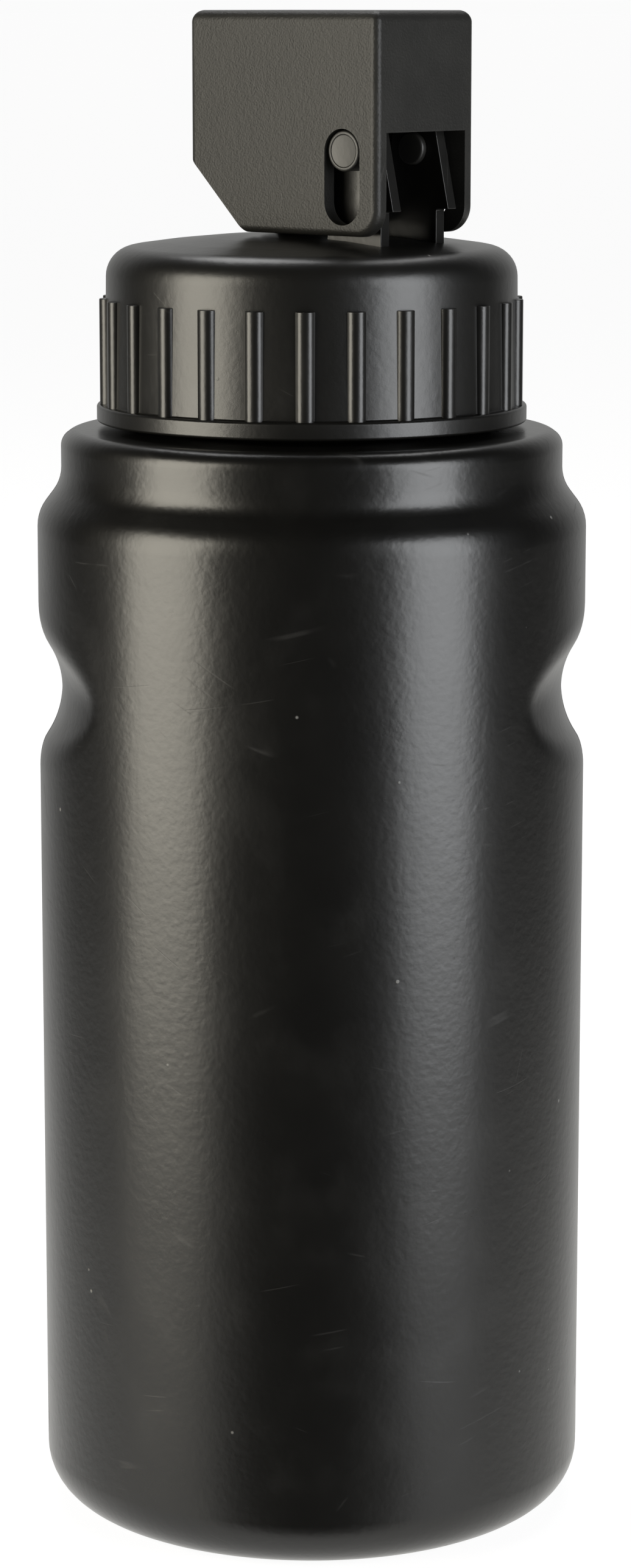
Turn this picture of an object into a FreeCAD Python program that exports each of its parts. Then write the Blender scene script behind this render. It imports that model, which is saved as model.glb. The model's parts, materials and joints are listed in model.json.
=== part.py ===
import FreeCAD, Part
import math
import os
from types import SimpleNamespace

import Sketcher

# Sports squeeze bottle: a soft blow-moulded bottle, a ribbed screw cap that carries a push-pull spout,
# and a hood that lifts on two studs and folds forward off the spout. Millimetres, +Z up, origin at the
# centre of the foot ring. The hood folds towards -Y. "Forward" lengths are measured along -Y.

SIZES = {
    # bottle
    "body_radius": (36.5, "outside radius of the barrel"),
    "body_wall": (1.4, "wall of the blown bottle"),
    "base_corner": (7.0, "outside round where the barrel meets the foot"),
    "foot_width": (2.0, "width of the flat foot ring"),
    "base_rise": (3.0, "height of the pushed-up base above the foot"),
    "base_slope": (4.0, "radial run of the slope up to the pushed-up base"),
    "barrel_height": (135.7, "height where the barrel turns in to the shoulder"),
    "shoulder_rise": (4.3, "height of the sloping shoulder"),
    "shoulder_round": (6.0, "round at the bottom of the shoulder"),
    "shoulder_hollow": (5.0, "hollow round at the top of the shoulder"),
    "rim_step": (3.25, "how far the upper rim stands in from the barrel"),
    "rim_rise": (6.75, "height of the upper rim"),
    "rim_round": (2.4, "outside round of the upper rim"),
    "ledge_rise": (0.45, "rise of the ledge from the rim to the neck"),
    "scoop_drop": (23.2, "distance of the middle of the finger scoops below the shoulder"),
    "scoop_depth": (3.1, "depth of a finger scoop in its middle"),
    "scoop_arc": (12.0, "radius of a scoop's upright section"),
    "scoop_set": (20.1, "distance of a scoop's turning axis behind the bottle axis"),
    "scoop_edge": (6.0, "round along a scoop's edge"),
    "scoop_angle": (-49.0, "direction of the first scoop, in degrees from +X"),
    "neck_radius": (23.6, "outside radius of the neck"),
    "neck_wall": (1.6, "wall of the neck"),
    "neck_height": (19.3, "height of the neck above the ledge"),
    # thread between neck and cap
    "thread_pitch": (4.5, "pitch of the single-start thread"),
    "thread_turns": (1.25, "turns of thread on the neck and in the cap"),
    "thread_depth": (1.5, "height of a thread ridge"),
    "thread_root": (2.2, "width of a thread ridge at its root"),
    "thread_crest": (1.0, "width of a thread ridge at its crest"),
    "thread_lead": (1.05, "height of the plain skirt below the cap's thread"),
    "thread_gap": (0.5, "radial gap from a thread crest to the wall across from it"),
    "thread_bite": (0.3, "depth that a thread ridge is sunk into its wall"),
    # screw cap
    "cap_wall": (1.5, "wall of the cap skirt at its top"),
    "cap_clear": (0.7, "gap from the ledge to the bottom of the cap"),
    "flange_out": (1.38, "how far the flange stands out from the top of the skirt"),
    "flange_height": (2.3, "height of the flange"),
    "flange_round": (0.4, "round on the edges of the flange"),
    "skirt_draft": (0.25, "extra radius at the foot of the skirt"),
    "dome_rise": (4.6, "height of the top of the dome above the gasket seat"),
    "dome_radius": (170.0, "sphere radius of the shallow dome"),
    "cap_round": (4.0, "round between skirt and dome"),
    "plate_recess": (1.8, "height of the recess inside the gasket seat"),
    "gasket_thick": (1.5, "thickness of the gasket"),
    "gasket_lap": (0.4, "how far the gasket reaches in over the neck's bore"),
    "gasket_gap": (0.3, "gap from the gasket to the cap skirt"),
    "rib_count": (26, "grip ribs round the skirt"),
    "rib_angle": (-140.7, "direction of the first rib, in degrees from +X"),
    "rib_width": (2.6, "width of a grip rib"),
    "rib_out": (0.96, "how far a rib stands out"),
    "rib_round": (1.2, "round along each edge of a rib"),
    "rib_drop": (3.9, "distance of the ribs' tops below the gasket seat"),
    # spout
    "chimney_radius": (4.4, "outside radius of the chimney"),
    "chimney_wall": (1.4, "wall of the chimney"),
    "chimney_gap": (2.4, "gap from the chimney's mouth to the top of the closed spout's room"),
    "bead_out": (0.25, "how far the stop bead stands out from the chimney"),
    "bead_height": (1.0, "height of the stop bead"),
    "slide_fit": (0.1, "radial running fit of the spout on the chimney"),
    "spout_travel": (5.0, "how far the spout pulls up"),
    "spout_clear": (1.1, "gap from the dome to the closed spout"),
    "spout_height": (17.3, "height of the hard spout"),
    "spout_wall": (0.75, "wall of the hard spout"),
    "spout_plate": (1.6, "thickness of the top of the hard spout"),
    "lip_height": (1.0, "height of the inner lip that meets the stop bead"),
    "finger_reach": (1.4, "how far the finger flange stands out from the hard spout"),
    "finger_thick": (1.5, "thickness of the finger flange"),
    "finger_round": (0.375, "round on the rim of the finger flange"),
    "spout_round": (0.375, "round on the top edge of the hard spout"),
    "stopper_radius": (1.6, "radius of the stopper that closes the spout"),
    "stopper_stem": (1.1, "radius of the stopper's stem"),
    "stopper_head": (2.2, "height of the stopper's full-size head"),
    "stopper_taper": (0.9, "height of the cone between stem and head"),
    "spoke_width": (1.0, "width of the spokes that hold the stopper"),
    "spoke_height": (1.5, "height of the spokes"),
    "spoke_count": (3, "spokes that hold the stopper"),
    "sleeve_fit": (0.05, "radial gap between mouthpiece and hard spout"),
    "waist_wall": (0.75, "wall of the mouthpiece at its waist"),
    "lip_wall": (1.2, "wall of the mouthpiece at its lip and foot"),
    "sleeve_cover": (1.0, "thickness of the mouthpiece over the top of the spout"),
    "lip_depth": (3.4, "height of the mouthpiece's lip"),
    "lip_slope": (0.85, "height of the slope from the waist out to the lip"),
    "lip_round": (1.7, "round on the top of the lip"),
    "lip_under": (0.85, "round under the lip"),
    "waist_round": (1.7, "round where the foot meets the waist"),
    "foot_round": (0.5, "round on the foot of the mouthpiece"),
    "mouth_round": (0.33, "round on the edge of the mouth opening"),
    "mouth_radius": (3.0, "radius of the mouth opening in the soft mouthpiece"),
    # hood and its hinge
    "hood_front": (19.45, "how far forward of the bottle's axis the hood reaches"),
    "hood_back": (12.75, "how far behind the bottle's axis the hood reaches"),
    "hood_wall": (1.9, "wall of the hood"),
    "hood_clear": (0.3, "gap from the dome's top to the hood's lower edge"),
    "side_room": (1.0, "gap from the spout's finger flange to the hood's sides"),
    "head_room": (2.5, "gap from the pulled-up spout to the hood's ceiling"),
    "hood_round": (1.5, "round along the top edges of the hood"),
    "hood_corner": (1.0, "round on the upright corners of the hood"),
    "room_corner": (0.5, "round in the corners of the hood's room"),
    "hood_cut": (9.5, "size of the cut corner at the hood's lower back"),
    "hood_toe": (3.5, "round at the lower front of the hood's sides"),
    "hood_travel": (6.6, "how far the hood lifts on its studs"),
    "window_rise": (2.36, "height of the front wall's bottom edge above the hinge axis"),
    "slot_play": (0.35, "gap at each side of a stud in its slot"),
    "slot_end": (0.23, "gap past a stud at each end of its slot"),
    "slot_land": (1.41, "height of the hood's side below the slot"),
    "pivot_set": (5.83, "distance of the hinge axis behind the hood's front face"),
    "stud_radius": (2.6, "radius of the stud in the slot"),
    "stud_sunk": (0.25, "depth of the stud's end below the face of the hood"),
    "stud_round": (0.5, "round on the end of the stud"),
    "stud_shaft": (1.5, "radius of the shaft through the ear"),
    "stud_clinch": (2.1, "radius of the stud's inner head"),
    "clinch_thick": (0.9, "thickness of the stud's inner head"),
    "clinch_round": (0.3, "round on the stud's inner head"),
    "stud_fit": (0.08, "radial running fit of the shaft in the ear"),
    "stud_gap": (0.1, "end gap between a stud's shoulders and the ear"),
    "ear_gap": (1.5, "gap from the hood's side to the ear"),
    "ear_thick": (1.7, "thickness of an ear"),
    "ear_foot": (2.15, "distance of the front of an ear's foot behind the hood's front face"),
    "ear_lean": (2.6, "distance of the front of an ear's crown behind the hood's front face"),
    "ear_crown": (3.58, "height of the ear above the hinge axis"),
    "ear_front_round": (1.2, "round at the front of the ear's crown"),
    "ear_back_round": (2.86, "round at the back of the ear's crown"),
    "ear_room": (1.1, "gap from the spout's finger flange to the back of an ear's foot"),
    "ear_sink": (2.0, "depth that the ears are sunk below the dome's top"),
    "catch_rise": (3.45, "height of the underside of the catch above the dome's top"),
    "catch_tip": (0.15, "distance of the catch's tip behind the hood's front face"),
    "catch_round": (0.1, "round on the tip of the catch"),
}


TOLERANCE = 0.01  # how near two lengths are when they count as the same
ROUND_SHARE = 0.999  # share of a slot's half width that its end rounds take, to leave a short straight side


class Size:
    """A number together with the sheet formula that it comes from."""

    def __init__(self, value, formula):
        self.value = float(value)
        self.formula = formula

    def __add__(self, other):
        return Size(self.value + number(other), f"({self.formula} + {formula(other)})")

    def __sub__(self, other):
        return Size(self.value - number(other), f"({self.formula} - {formula(other)})")

    def __mul__(self, other):
        return Size(self.value * number(other), f"({self.formula} * {formula(other)})")

    def __truediv__(self, other):
        return Size(self.value / number(other), f"({self.formula} / {formula(other)})")

    def __neg__(self):
        return Size(-self.value, f"(-1 * {self.formula})")


def number(length):
    return length.value if isinstance(length, Size) else float(length)


def formula(length):
    return length.formula if isinstance(length, Size) else repr(float(length))


def square_root(length):
    return Size(math.sqrt(length.value), f"sqrt({length.formula})")


size = SimpleNamespace(**{name: Size(entry[0], f"sizes.{name}") for name, entry in SIZES.items()})

document = FreeCAD.newDocument("squeeze_bottle")


def write_sheet():
    """The driving sizes, one row each: name, value, what it is."""
    sheet = document.addObject("Spreadsheet::Sheet", "sizes")
    for row, (name, (value, note)) in enumerate(SIZES.items(), 1):
        sheet.set(f"A{row}", name)
        sheet.set(f"B{row}", str(value))
        sheet.setAlias(f"B{row}", name)
        sheet.set(f"C{row}", note)
    document.recompute()


# ---- sketches and features ---------------------------------------------------------------------------

def bind(thing, path, length):
    thing.setExpression(path, formula(length))


def origin_feature(body, role):
    return next(item for item in body.Origin.OriginFeatures if item.Role == role)


def new_body(label):
    body = document.addObject("PartDesign::Body", label)
    body.Label = label
    return body


def new_sketch(body, name, plane, lift=0, turn=0):
    """A sketch on one of the body's own planes, shifted along its normal or turned about its upright."""
    sketch = body.newObject("Sketcher::SketchObject", name)
    sketch.AttachmentSupport = [(origin_feature(body, plane), "")]
    sketch.MapMode = "FlatFace"
    if number(turn):
        sketch.AttachmentOffset = FreeCAD.Placement(
            FreeCAD.Vector(), FreeCAD.Rotation(FreeCAD.Vector(0, 1, 0), number(turn)))
        bind(sketch, "AttachmentOffset.Rotation.Angle", turn)
    if number(lift):
        bind(sketch, "AttachmentOffset.Base.z", lift)
    return sketch


def fix_point(sketch, geometry, position, across, up):
    """Hold a point at its distances from the sketch's origin."""
    for kind, axis, length in (("DistanceX", -2, across), ("DistanceY", -1, up)):
        if number(length) == 0:
            sketch.addConstraint(Sketcher.Constraint("PointOnObject", geometry, position, axis))
            continue
        index = sketch.addConstraint(
            Sketcher.Constraint(kind, -1, 1, geometry, position, number(length)))
        bind(sketch, f"Constraints[{index}]", length)


def fix_radius(sketch, geometry, radius):
    index = sketch.addConstraint(Sketcher.Constraint("Radius", geometry, number(radius)))
    bind(sketch, f"Constraints[{index}]", radius)


def round_corner(before, corner, after, radius):
    """Where a round of this radius leaves the two sides, its centre, and whether it turns left."""
    back = (before - corner).normalize()
    ahead = (after - corner).normalize()
    half = back.getAngle(ahead) / 2
    reach = radius / math.tan(half)
    middle = corner + (back + ahead).normalize() * (radius / math.sin(half))
    left = back.cross(ahead).z < 0
    return corner + back * reach, corner + ahead * reach, middle, left


def add_round(sketch, sides, ends, corner, radius):
    """A round between two sides, tangent to both, with the sharp corner kept as a point."""
    first, last, middle, left = ends
    start, finish = (first, last) if left else (last, first)
    angles = [math.atan2(point.y - middle.y, point.x - middle.x) for point in (start, finish)]
    if angles[1] < angles[0]:
        angles[1] += 2 * math.pi
    whole = Part.Circle(middle, FreeCAD.Vector(0, 0, 1), number(radius))
    arc = sketch.addGeometry(Part.ArcOfCircle(whole, *angles))
    meets = (1, 2) if left else (2, 1)
    sketch.addConstraint(Sketcher.Constraint("Tangent", sides[0], 2, arc, meets[0]))
    sketch.addConstraint(Sketcher.Constraint("Tangent", sides[1], 1, arc, meets[1]))
    fix_radius(sketch, arc, radius)
    sharp = sketch.addGeometry(Part.Point(FreeCAD.Vector(number(corner[0]), number(corner[1]))), True)
    for side in sides:
        sketch.addConstraint(Sketcher.Constraint("PointOnObject", sharp, 1, side))
    fix_point(sketch, sharp, 1, corner[0], corner[1])


def outline(sketch, corners):
    """A closed outline of straight sides. A corner is (across, up) or (across, up, round)."""
    points = [FreeCAD.Vector(number(corner[0]), number(corner[1])) for corner in corners]
    following = points[1:] + points[:1]
    ends = []
    for index, corner in enumerate(corners):
        if len(corner) == 3:
            ends.append(round_corner(points[index - 1], points[index], following[index], number(corner[2])))
        else:
            ends.append((points[index], points[index]))
    sides = [sketch.addGeometry(Part.LineSegment(ends[index][1], ends[(index + 1) % len(ends)][0]))
             for index in range(len(ends))]
    for index, corner in enumerate(corners):
        pair = (sides[index - 1], sides[index])
        if len(corner) == 3:
            add_round(sketch, pair, ends[index], corner, corner[2])
        else:
            sketch.addConstraint(Sketcher.Constraint("Coincident", pair[0], 2, pair[1], 1))
            fix_point(sketch, pair[1], 1, corner[0], corner[1])
    return sides


def circle(sketch, across, up, radius):
    middle = FreeCAD.Vector(number(across), number(up))
    geometry = sketch.addGeometry(Part.Circle(middle, FreeCAD.Vector(0, 0, 1), number(radius)))
    fix_point(sketch, geometry, 3, across, up)
    fix_radius(sketch, geometry, radius)


def turned(body, kind, name, sketch, axis="V_Axis"):
    """Turn a sketch once round an axis of its own: kind is Revolution or Groove."""
    feature = body.newObject(f"PartDesign::{kind}", name)
    feature.Profile = sketch
    feature.ReferenceAxis = (sketch, [axis])
    feature.Angle = 360
    document.recompute()
    return feature


def padded(body, kind, name, sketch, length, both_ways=False, backwards=False):
    """Extrude a sketch: kind is Pad or Pocket."""
    feature = body.newObject(f"PartDesign::{kind}", name)
    feature.Profile = sketch
    feature.Reversed = backwards
    if both_ways:
        feature.Midplane = True
    bind(feature, "Length", length)
    document.recompute()
    return feature


def polar(body, name, features, count):
    """Repeat features evenly round the upright axis."""
    pattern = body.newObject("PartDesign::PolarPattern", name)
    pattern.Originals = features
    pattern.Axis = (origin_feature(body, "Z_Axis"), [""])
    pattern.Angle = 360
    bind(pattern, "Occurrences", count)
    body.Tip = pattern
    document.recompute()
    return pattern


def rounded(body, name, radius, wanted):
    """Round every edge for which wanted(edge) is true."""
    base = body.Tip
    names = [f"Edge{index}" for index, edge in enumerate(base.Shape.Edges, 1)
             if not edge.Degenerated and wanted(edge)]
    feature = body.newObject("PartDesign::Fillet", name)
    feature.Base = (base, names)
    bind(feature, "Radius", radius)
    document.recompute()
    return feature


def thread(body, name, root_radius, crest_radius, height):
    """A right-hand thread ridge of trapezium section, its root at one radius and its crest at another."""
    sketch = new_sketch(body, f"{name}_section", "XZ_Plane")
    outline(sketch, [
        (root_radius, height - size.thread_root / 2),
        (crest_radius, height - size.thread_crest / 2),
        (crest_radius, height + size.thread_crest / 2),
        (root_radius, height + size.thread_root / 2),
    ])
    helix = body.newObject("PartDesign::AdditiveHelix", name)
    helix.Profile = sketch
    helix.ReferenceAxis = (sketch, ["V_Axis"])
    helix.Mode = "pitch-turns-angle"
    bind(helix, "Pitch", size.thread_pitch)
    bind(helix, "Turns", size.thread_turns)
    helix.Angle = 0
    document.recompute()
    return helix


# ---- sizes that several pieces share -----------------------------------------------------------------

# radii outwards from the bottle's axis
foot_inner = size.body_radius - size.base_corner - size.foot_width
rim_radius = size.body_radius - size.rim_step
neck_bore = size.neck_radius - size.neck_wall
cap_bore = size.neck_radius + size.thread_depth + size.thread_gap
cap_radius = cap_bore + size.cap_wall
gasket_inner = neck_bore - size.gasket_lap
slider_bore = size.chimney_radius + size.bead_out + size.slide_fit
slider_radius = slider_bore + size.spout_wall
finger_radius = slider_radius + size.finger_reach

# heights upwards from the foot
shoulder_top = size.barrel_height + size.shoulder_rise
rim_top = shoulder_top + size.rim_rise
ledge_height = rim_top + size.ledge_rise
neck_top = ledge_height + size.neck_height
cap_low = ledge_height + size.cap_clear
flange_top = cap_low + size.flange_height
cap_thread_start = cap_low + size.thread_lead + size.thread_root / 2
seat_height = neck_top + size.gasket_thick
plate_low = seat_height + size.plate_recess
cap_apex = seat_height + size.dome_rise
spout_low = cap_apex + size.spout_clear
spout_top = spout_low + size.spout_height
spout_room = spout_top - size.spout_plate
finger_top = spout_low + size.finger_thick
chimney_top = spout_room - size.chimney_gap
hood_low = cap_apex + size.hood_clear
hood_ceiling = spout_top + size.sleeve_cover + size.spout_travel + size.head_room
hood_top = hood_ceiling + size.hood_wall
slot_low = hood_low + size.slot_land
pivot_height = slot_low + size.slot_end + size.hood_travel + size.stud_radius
slot_high = pivot_height + size.stud_radius + size.slot_end

# across the hood, outwards from its middle, and forward from the bottle's axis
hood_inner = finger_radius + size.side_room
hood_side = hood_inner + size.hood_wall
ear_outer = hood_inner - size.ear_gap
ear_inner = ear_outer - size.ear_thick
pivot_forward = size.hood_front - size.pivot_set

# lengths that cut right through: longer than the hood is wide, and deeper than its front wall
through_hood = hood_side * 4
through_front = size.hood_wall * 3


# ---- bottle ------------------------------------------------------------------------------------------

def cut_scoops(body, name, arc, edge):
    """Two finger scoops, opposite each other: a ring-shaped cut about an axis behind the bottle's own.

    The ring's section is drawn on its far side, so that its seam stays clear of the bottle.
    """
    sketch = new_sketch(body, f"{name}_section", "XZ_Plane", turn=size.scoop_angle + 180)
    axis = sketch.addGeometry(Part.LineSegment(
        FreeCAD.Vector(number(size.scoop_set), 0), FreeCAD.Vector(number(size.scoop_set), 1)), True)
    fix_point(sketch, axis, 1, size.scoop_set, 0)
    fix_point(sketch, axis, 2, size.scoop_set, 1)
    reach = size.body_radius - size.scoop_depth + size.scoop_arc
    circle(sketch, reach + size.scoop_set * 2, size.barrel_height - size.scoop_drop, arc)
    first = turned(body, "Groove", name, sketch, "Axis0")
    polar(body, f"{name}_pair", [first], 2)

    def scoop_edge(found):
        box = found.BoundBox
        return (found.Curve.TypeId == "Part::GeomBSplineCurve" and box.ZMin > number(size.base_corner)
                and box.ZMax < number(size.barrel_height))

    rounded(body, f"{name}_rounds", edge, scoop_edge)


def make_bottle():
    """The blown bottle: barrel with scoops, stepped shoulder and threaded neck, hollow inside."""
    wall = size.body_wall
    inner = new_body("bottle_hollow")
    sketch = new_sketch(inner, "hollow_section", "XZ_Plane")
    outline(sketch, [
        (0, size.base_rise + wall),
        (foot_inner - size.base_slope, size.base_rise + wall),
        (foot_inner, wall),
        (size.body_radius - wall, wall, size.base_corner - wall),
        (size.body_radius - wall, size.barrel_height, size.shoulder_round - wall),
        (rim_radius - wall, shoulder_top, size.shoulder_hollow + wall),
        (rim_radius - wall, rim_top - wall, size.rim_round - wall),
        (neck_bore, ledge_height - wall),
        (neck_bore, neck_top + wall),
        (0, neck_top + wall),
    ])
    turned(inner, "Revolution", "hollow_turned", sketch)
    cut_scoops(inner, "hollow_scoop", size.scoop_arc + wall, size.scoop_edge - wall)

    body = new_body("bottle_body")
    sketch = new_sketch(body, "bottle_section", "XZ_Plane")
    outline(sketch, [
        (0, size.base_rise),
        (foot_inner - size.base_slope, size.base_rise),
        (foot_inner, 0),
        (size.body_radius, 0, size.base_corner),
        (size.body_radius, size.barrel_height, size.shoulder_round),
        (rim_radius, shoulder_top, size.shoulder_hollow),
        (rim_radius, rim_top, size.rim_round),
        (size.neck_radius, ledge_height),
        (size.neck_radius, neck_top),
        (0, neck_top),
    ])
    turned(body, "Revolution", "bottle_turned", sketch)
    cut_scoops(body, "scoop", size.scoop_arc, size.scoop_edge)
    thread(body, "neck_thread", size.neck_radius - size.thread_bite,
           size.neck_radius + size.thread_depth, cap_thread_start + size.thread_pitch / 2)
    hollow = body.newObject("PartDesign::Boolean", "bottle_hollowed")
    hollow.Type = "Cut"
    hollow.setObjects([inner])
    document.recompute()
    return body


# ---- screw cap ---------------------------------------------------------------------------------------

def cap_shell(body):
    """Skirt, flange, dome and the plate that holds the gasket, turned as one section."""
    sketch = new_sketch(body, "shell_section", "XZ_Plane")
    foot = cap_radius + size.skirt_draft
    reach = cap_radius + size.flange_out
    sphere = cap_apex - size.dome_radius
    edge = sphere + square_root(size.dome_radius * size.dome_radius - cap_radius * cap_radius)
    sides = outline(sketch, [
        (cap_bore, cap_low),
        (reach, cap_low, size.flange_round),
        (reach, flange_top, size.flange_round),
        (foot, flange_top),
        (cap_radius, edge),
        (0, cap_apex),
        (0, plate_low),
        (gasket_inner, plate_low),
        (gasket_inner, seat_height),
        (cap_bore, seat_height),
    ])
    # The side from the skirt's top to the apex is the chord of the dome: it stays as a guide line.
    chord = sides[4]
    sketch.toggleConstruction(chord)
    start = math.atan2(number(edge) - number(sphere), number(cap_radius))
    arc = sketch.addGeometry(Part.ArcOfCircle(
        Part.Circle(FreeCAD.Vector(0, number(sphere)), FreeCAD.Vector(0, 0, 1), number(size.dome_radius)),
        start, math.pi / 2))
    sketch.addConstraint(Sketcher.Constraint("Coincident", arc, 1, chord, 1))
    sketch.addConstraint(Sketcher.Constraint("Coincident", arc, 2, chord, 2))
    fix_radius(sketch, arc, size.dome_radius)
    turned(body, "Revolution", "shell_turned", sketch)

    def dome_rim(found):
        box = found.BoundBox
        return (found.Curve.TypeId == "Part::GeomCircle" and box.ZLength < TOLERANCE
                and abs(box.ZMin - number(edge)) < TOLERANCE and box.XLength > number(cap_radius))

    rounded(body, "dome_round", size.cap_round, dome_rim)


def cap_ribs(body):
    """Round-topped grip ribs, standing on the flange."""
    sketch = new_sketch(body, "rib_section", "XY_Plane", lift=flange_top)
    sketch.AttachmentOffset = FreeCAD.Placement(
        FreeCAD.Vector(0, 0, number(flange_top)),
        FreeCAD.Rotation(FreeCAD.Vector(0, 0, 1), number(size.rib_angle)))
    bind(sketch, "AttachmentOffset.Rotation.Angle", size.rib_angle)
    half = size.rib_width / 2
    inner = cap_radius - size.cap_wall / 2
    outer = cap_radius + size.rib_out
    outline(sketch, [
        (inner, -half),
        (outer, -half, size.rib_round),
        (outer, half, size.rib_round),
        (inner, half),
    ])
    rib = padded(body, "Pad", "rib", sketch, seat_height - size.rib_drop - flange_top)
    polar(body, "ribs", [rib], size.rib_count)


def cap_chimney(body):
    """Chimney for the spout: a tube with a stop bead, and a stopper held on spokes in its mouth."""
    bead_low = spout_low + size.lip_height + size.spout_travel + size.slide_fit * 2
    sketch = new_sketch(body, "chimney_section", "XZ_Plane")
    outline(sketch, [
        (0, plate_low),
        (size.chimney_radius, plate_low),
        (size.chimney_radius, bead_low),
        (size.chimney_radius + size.bead_out, bead_low),
        (size.chimney_radius, bead_low + size.bead_height),
        (size.chimney_radius, chimney_top),
        (0, chimney_top),
    ])
    turned(body, "Revolution", "chimney", sketch)
    sketch = new_sketch(body, "bore_circle", "XY_Plane", lift=chimney_top)
    circle(sketch, 0, 0, size.chimney_radius - size.chimney_wall)
    padded(body, "Pocket", "chimney_hole", sketch, chimney_top - cap_low)
    stopper_top = spout_top - size.slide_fit
    sketch = new_sketch(body, "stopper_section", "XZ_Plane")
    outline(sketch, [
        (0, chimney_top - size.spoke_height),
        (size.stopper_stem, chimney_top - size.spoke_height),
        (size.stopper_stem, stopper_top - size.stopper_head - size.stopper_taper),
        (size.stopper_radius, stopper_top - size.stopper_head),
        (size.stopper_radius, stopper_top),
        (0, stopper_top),
    ])
    turned(body, "Revolution", "stopper", sketch)
    sketch = new_sketch(body, "spoke_plan", "XY_Plane", lift=chimney_top - size.spoke_height)
    half = size.spoke_width / 2
    reach = size.chimney_radius - size.chimney_wall + size.bead_out
    near = size.stopper_stem / 2
    outline(sketch, [(near, -half), (reach, -half), (reach, half), (near, half)])
    spoke = padded(body, "Pad", "spoke", sketch, size.spoke_height)
    polar(body, "spokes", [spoke], size.spoke_count)


def cap_ears(body):
    """Two ears that carry the studs; each has a catch that holds the folded hood."""
    sketch = new_sketch(body, "ear_side", "YZ_Plane", lift=ear_inner)
    foot = cap_apex - size.ear_sink
    crown = pivot_height + size.ear_crown
    catch = cap_apex + size.catch_rise
    outline(sketch, [
        (size.ear_foot - size.hood_front, foot),
        (size.ear_foot - size.hood_front, catch),
        (size.catch_tip - size.hood_front, catch, size.catch_round),
        (size.ear_lean - size.hood_front, crown, size.ear_front_round),
        (size.ear_crown - pivot_forward, crown, size.ear_back_round),
        (-finger_radius - size.ear_room, foot),
    ])
    ear = padded(body, "Pad", "ear", sketch, size.ear_thick)
    mirror = body.newObject("PartDesign::Mirrored", "ears")
    mirror.Originals = [ear]
    mirror.MirrorPlane = (origin_feature(body, "YZ_Plane"), [""])
    body.Tip = mirror
    document.recompute()
    sketch = new_sketch(body, "stud_hole_circle", "YZ_Plane")
    circle(sketch, -pivot_forward, pivot_height, size.stud_shaft + size.stud_fit)
    padded(body, "Pocket", "stud_holes", sketch, through_hood, both_ways=True)


def make_cap():
    body = new_body("screw_cap")
    cap_shell(body)
    cap_ribs(body)
    cap_chimney(body)
    cap_ears(body)
    thread(body, "cap_thread", cap_bore + size.thread_bite, cap_bore - size.thread_depth,
           cap_thread_start)
    return body


def make_gasket():
    """The flat ring between the neck and the cap."""
    body = new_body("cap_gasket")
    sketch = new_sketch(body, "gasket_section", "XZ_Plane")
    outer = cap_bore - size.gasket_gap
    outline(sketch, [
        (gasket_inner, neck_top),
        (outer, neck_top),
        (outer, seat_height),
        (gasket_inner, seat_height),
    ])
    turned(body, "Revolution", "gasket_turned", sketch)
    return body


# ---- spout -------------------------------------------------------------------------------------------

def make_spout():
    """The hard spout that slides on the chimney; its hole closes on the stopper."""
    body = new_body("spout_slider")
    sketch = new_sketch(body, "spout_section", "XZ_Plane")
    lip_radius = size.chimney_radius + size.slide_fit
    lip_top = spout_low + size.lip_height
    outline(sketch, [
        (lip_radius, spout_low),
        (finger_radius, spout_low, size.finger_round),
        (finger_radius, finger_top, size.finger_round),
        (slider_radius, finger_top),
        (slider_radius, spout_top, size.spout_round),
        (size.stopper_radius + size.slide_fit, spout_top),
        (size.stopper_radius + size.slide_fit, spout_room),
        (slider_bore, spout_room),
        (slider_bore, lip_top),
        (lip_radius, lip_top),
    ])
    turned(body, "Revolution", "spout_turned", sketch)
    return body


def make_mouthpiece():
    """The soft sleeve over the hard spout, with a thicker lip to bite on."""
    body = new_body("mouthpiece")
    sketch = new_sketch(body, "mouthpiece_section", "XZ_Plane")
    inner = slider_radius + size.sleeve_fit
    top = spout_top + size.sleeve_cover
    lip_low = top - size.lip_depth
    waist = inner + size.waist_wall
    lip = inner + size.lip_wall
    outline(sketch, [
        (inner, finger_top),
        (lip, finger_top, size.foot_round),
        (waist, finger_top + size.lip_depth, size.waist_round),
        (waist, lip_low, size.lip_under),
        (lip, lip_low + size.lip_slope, size.lip_under),
        (lip, top, size.lip_round),
        (size.mouth_radius, top, size.mouth_round),
        (size.mouth_radius, spout_top),
        (inner, spout_top),
    ])
    turned(body, "Revolution", "mouthpiece_turned", sketch)
    return body


# ---- hood and studs ----------------------------------------------------------------------------------

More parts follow.
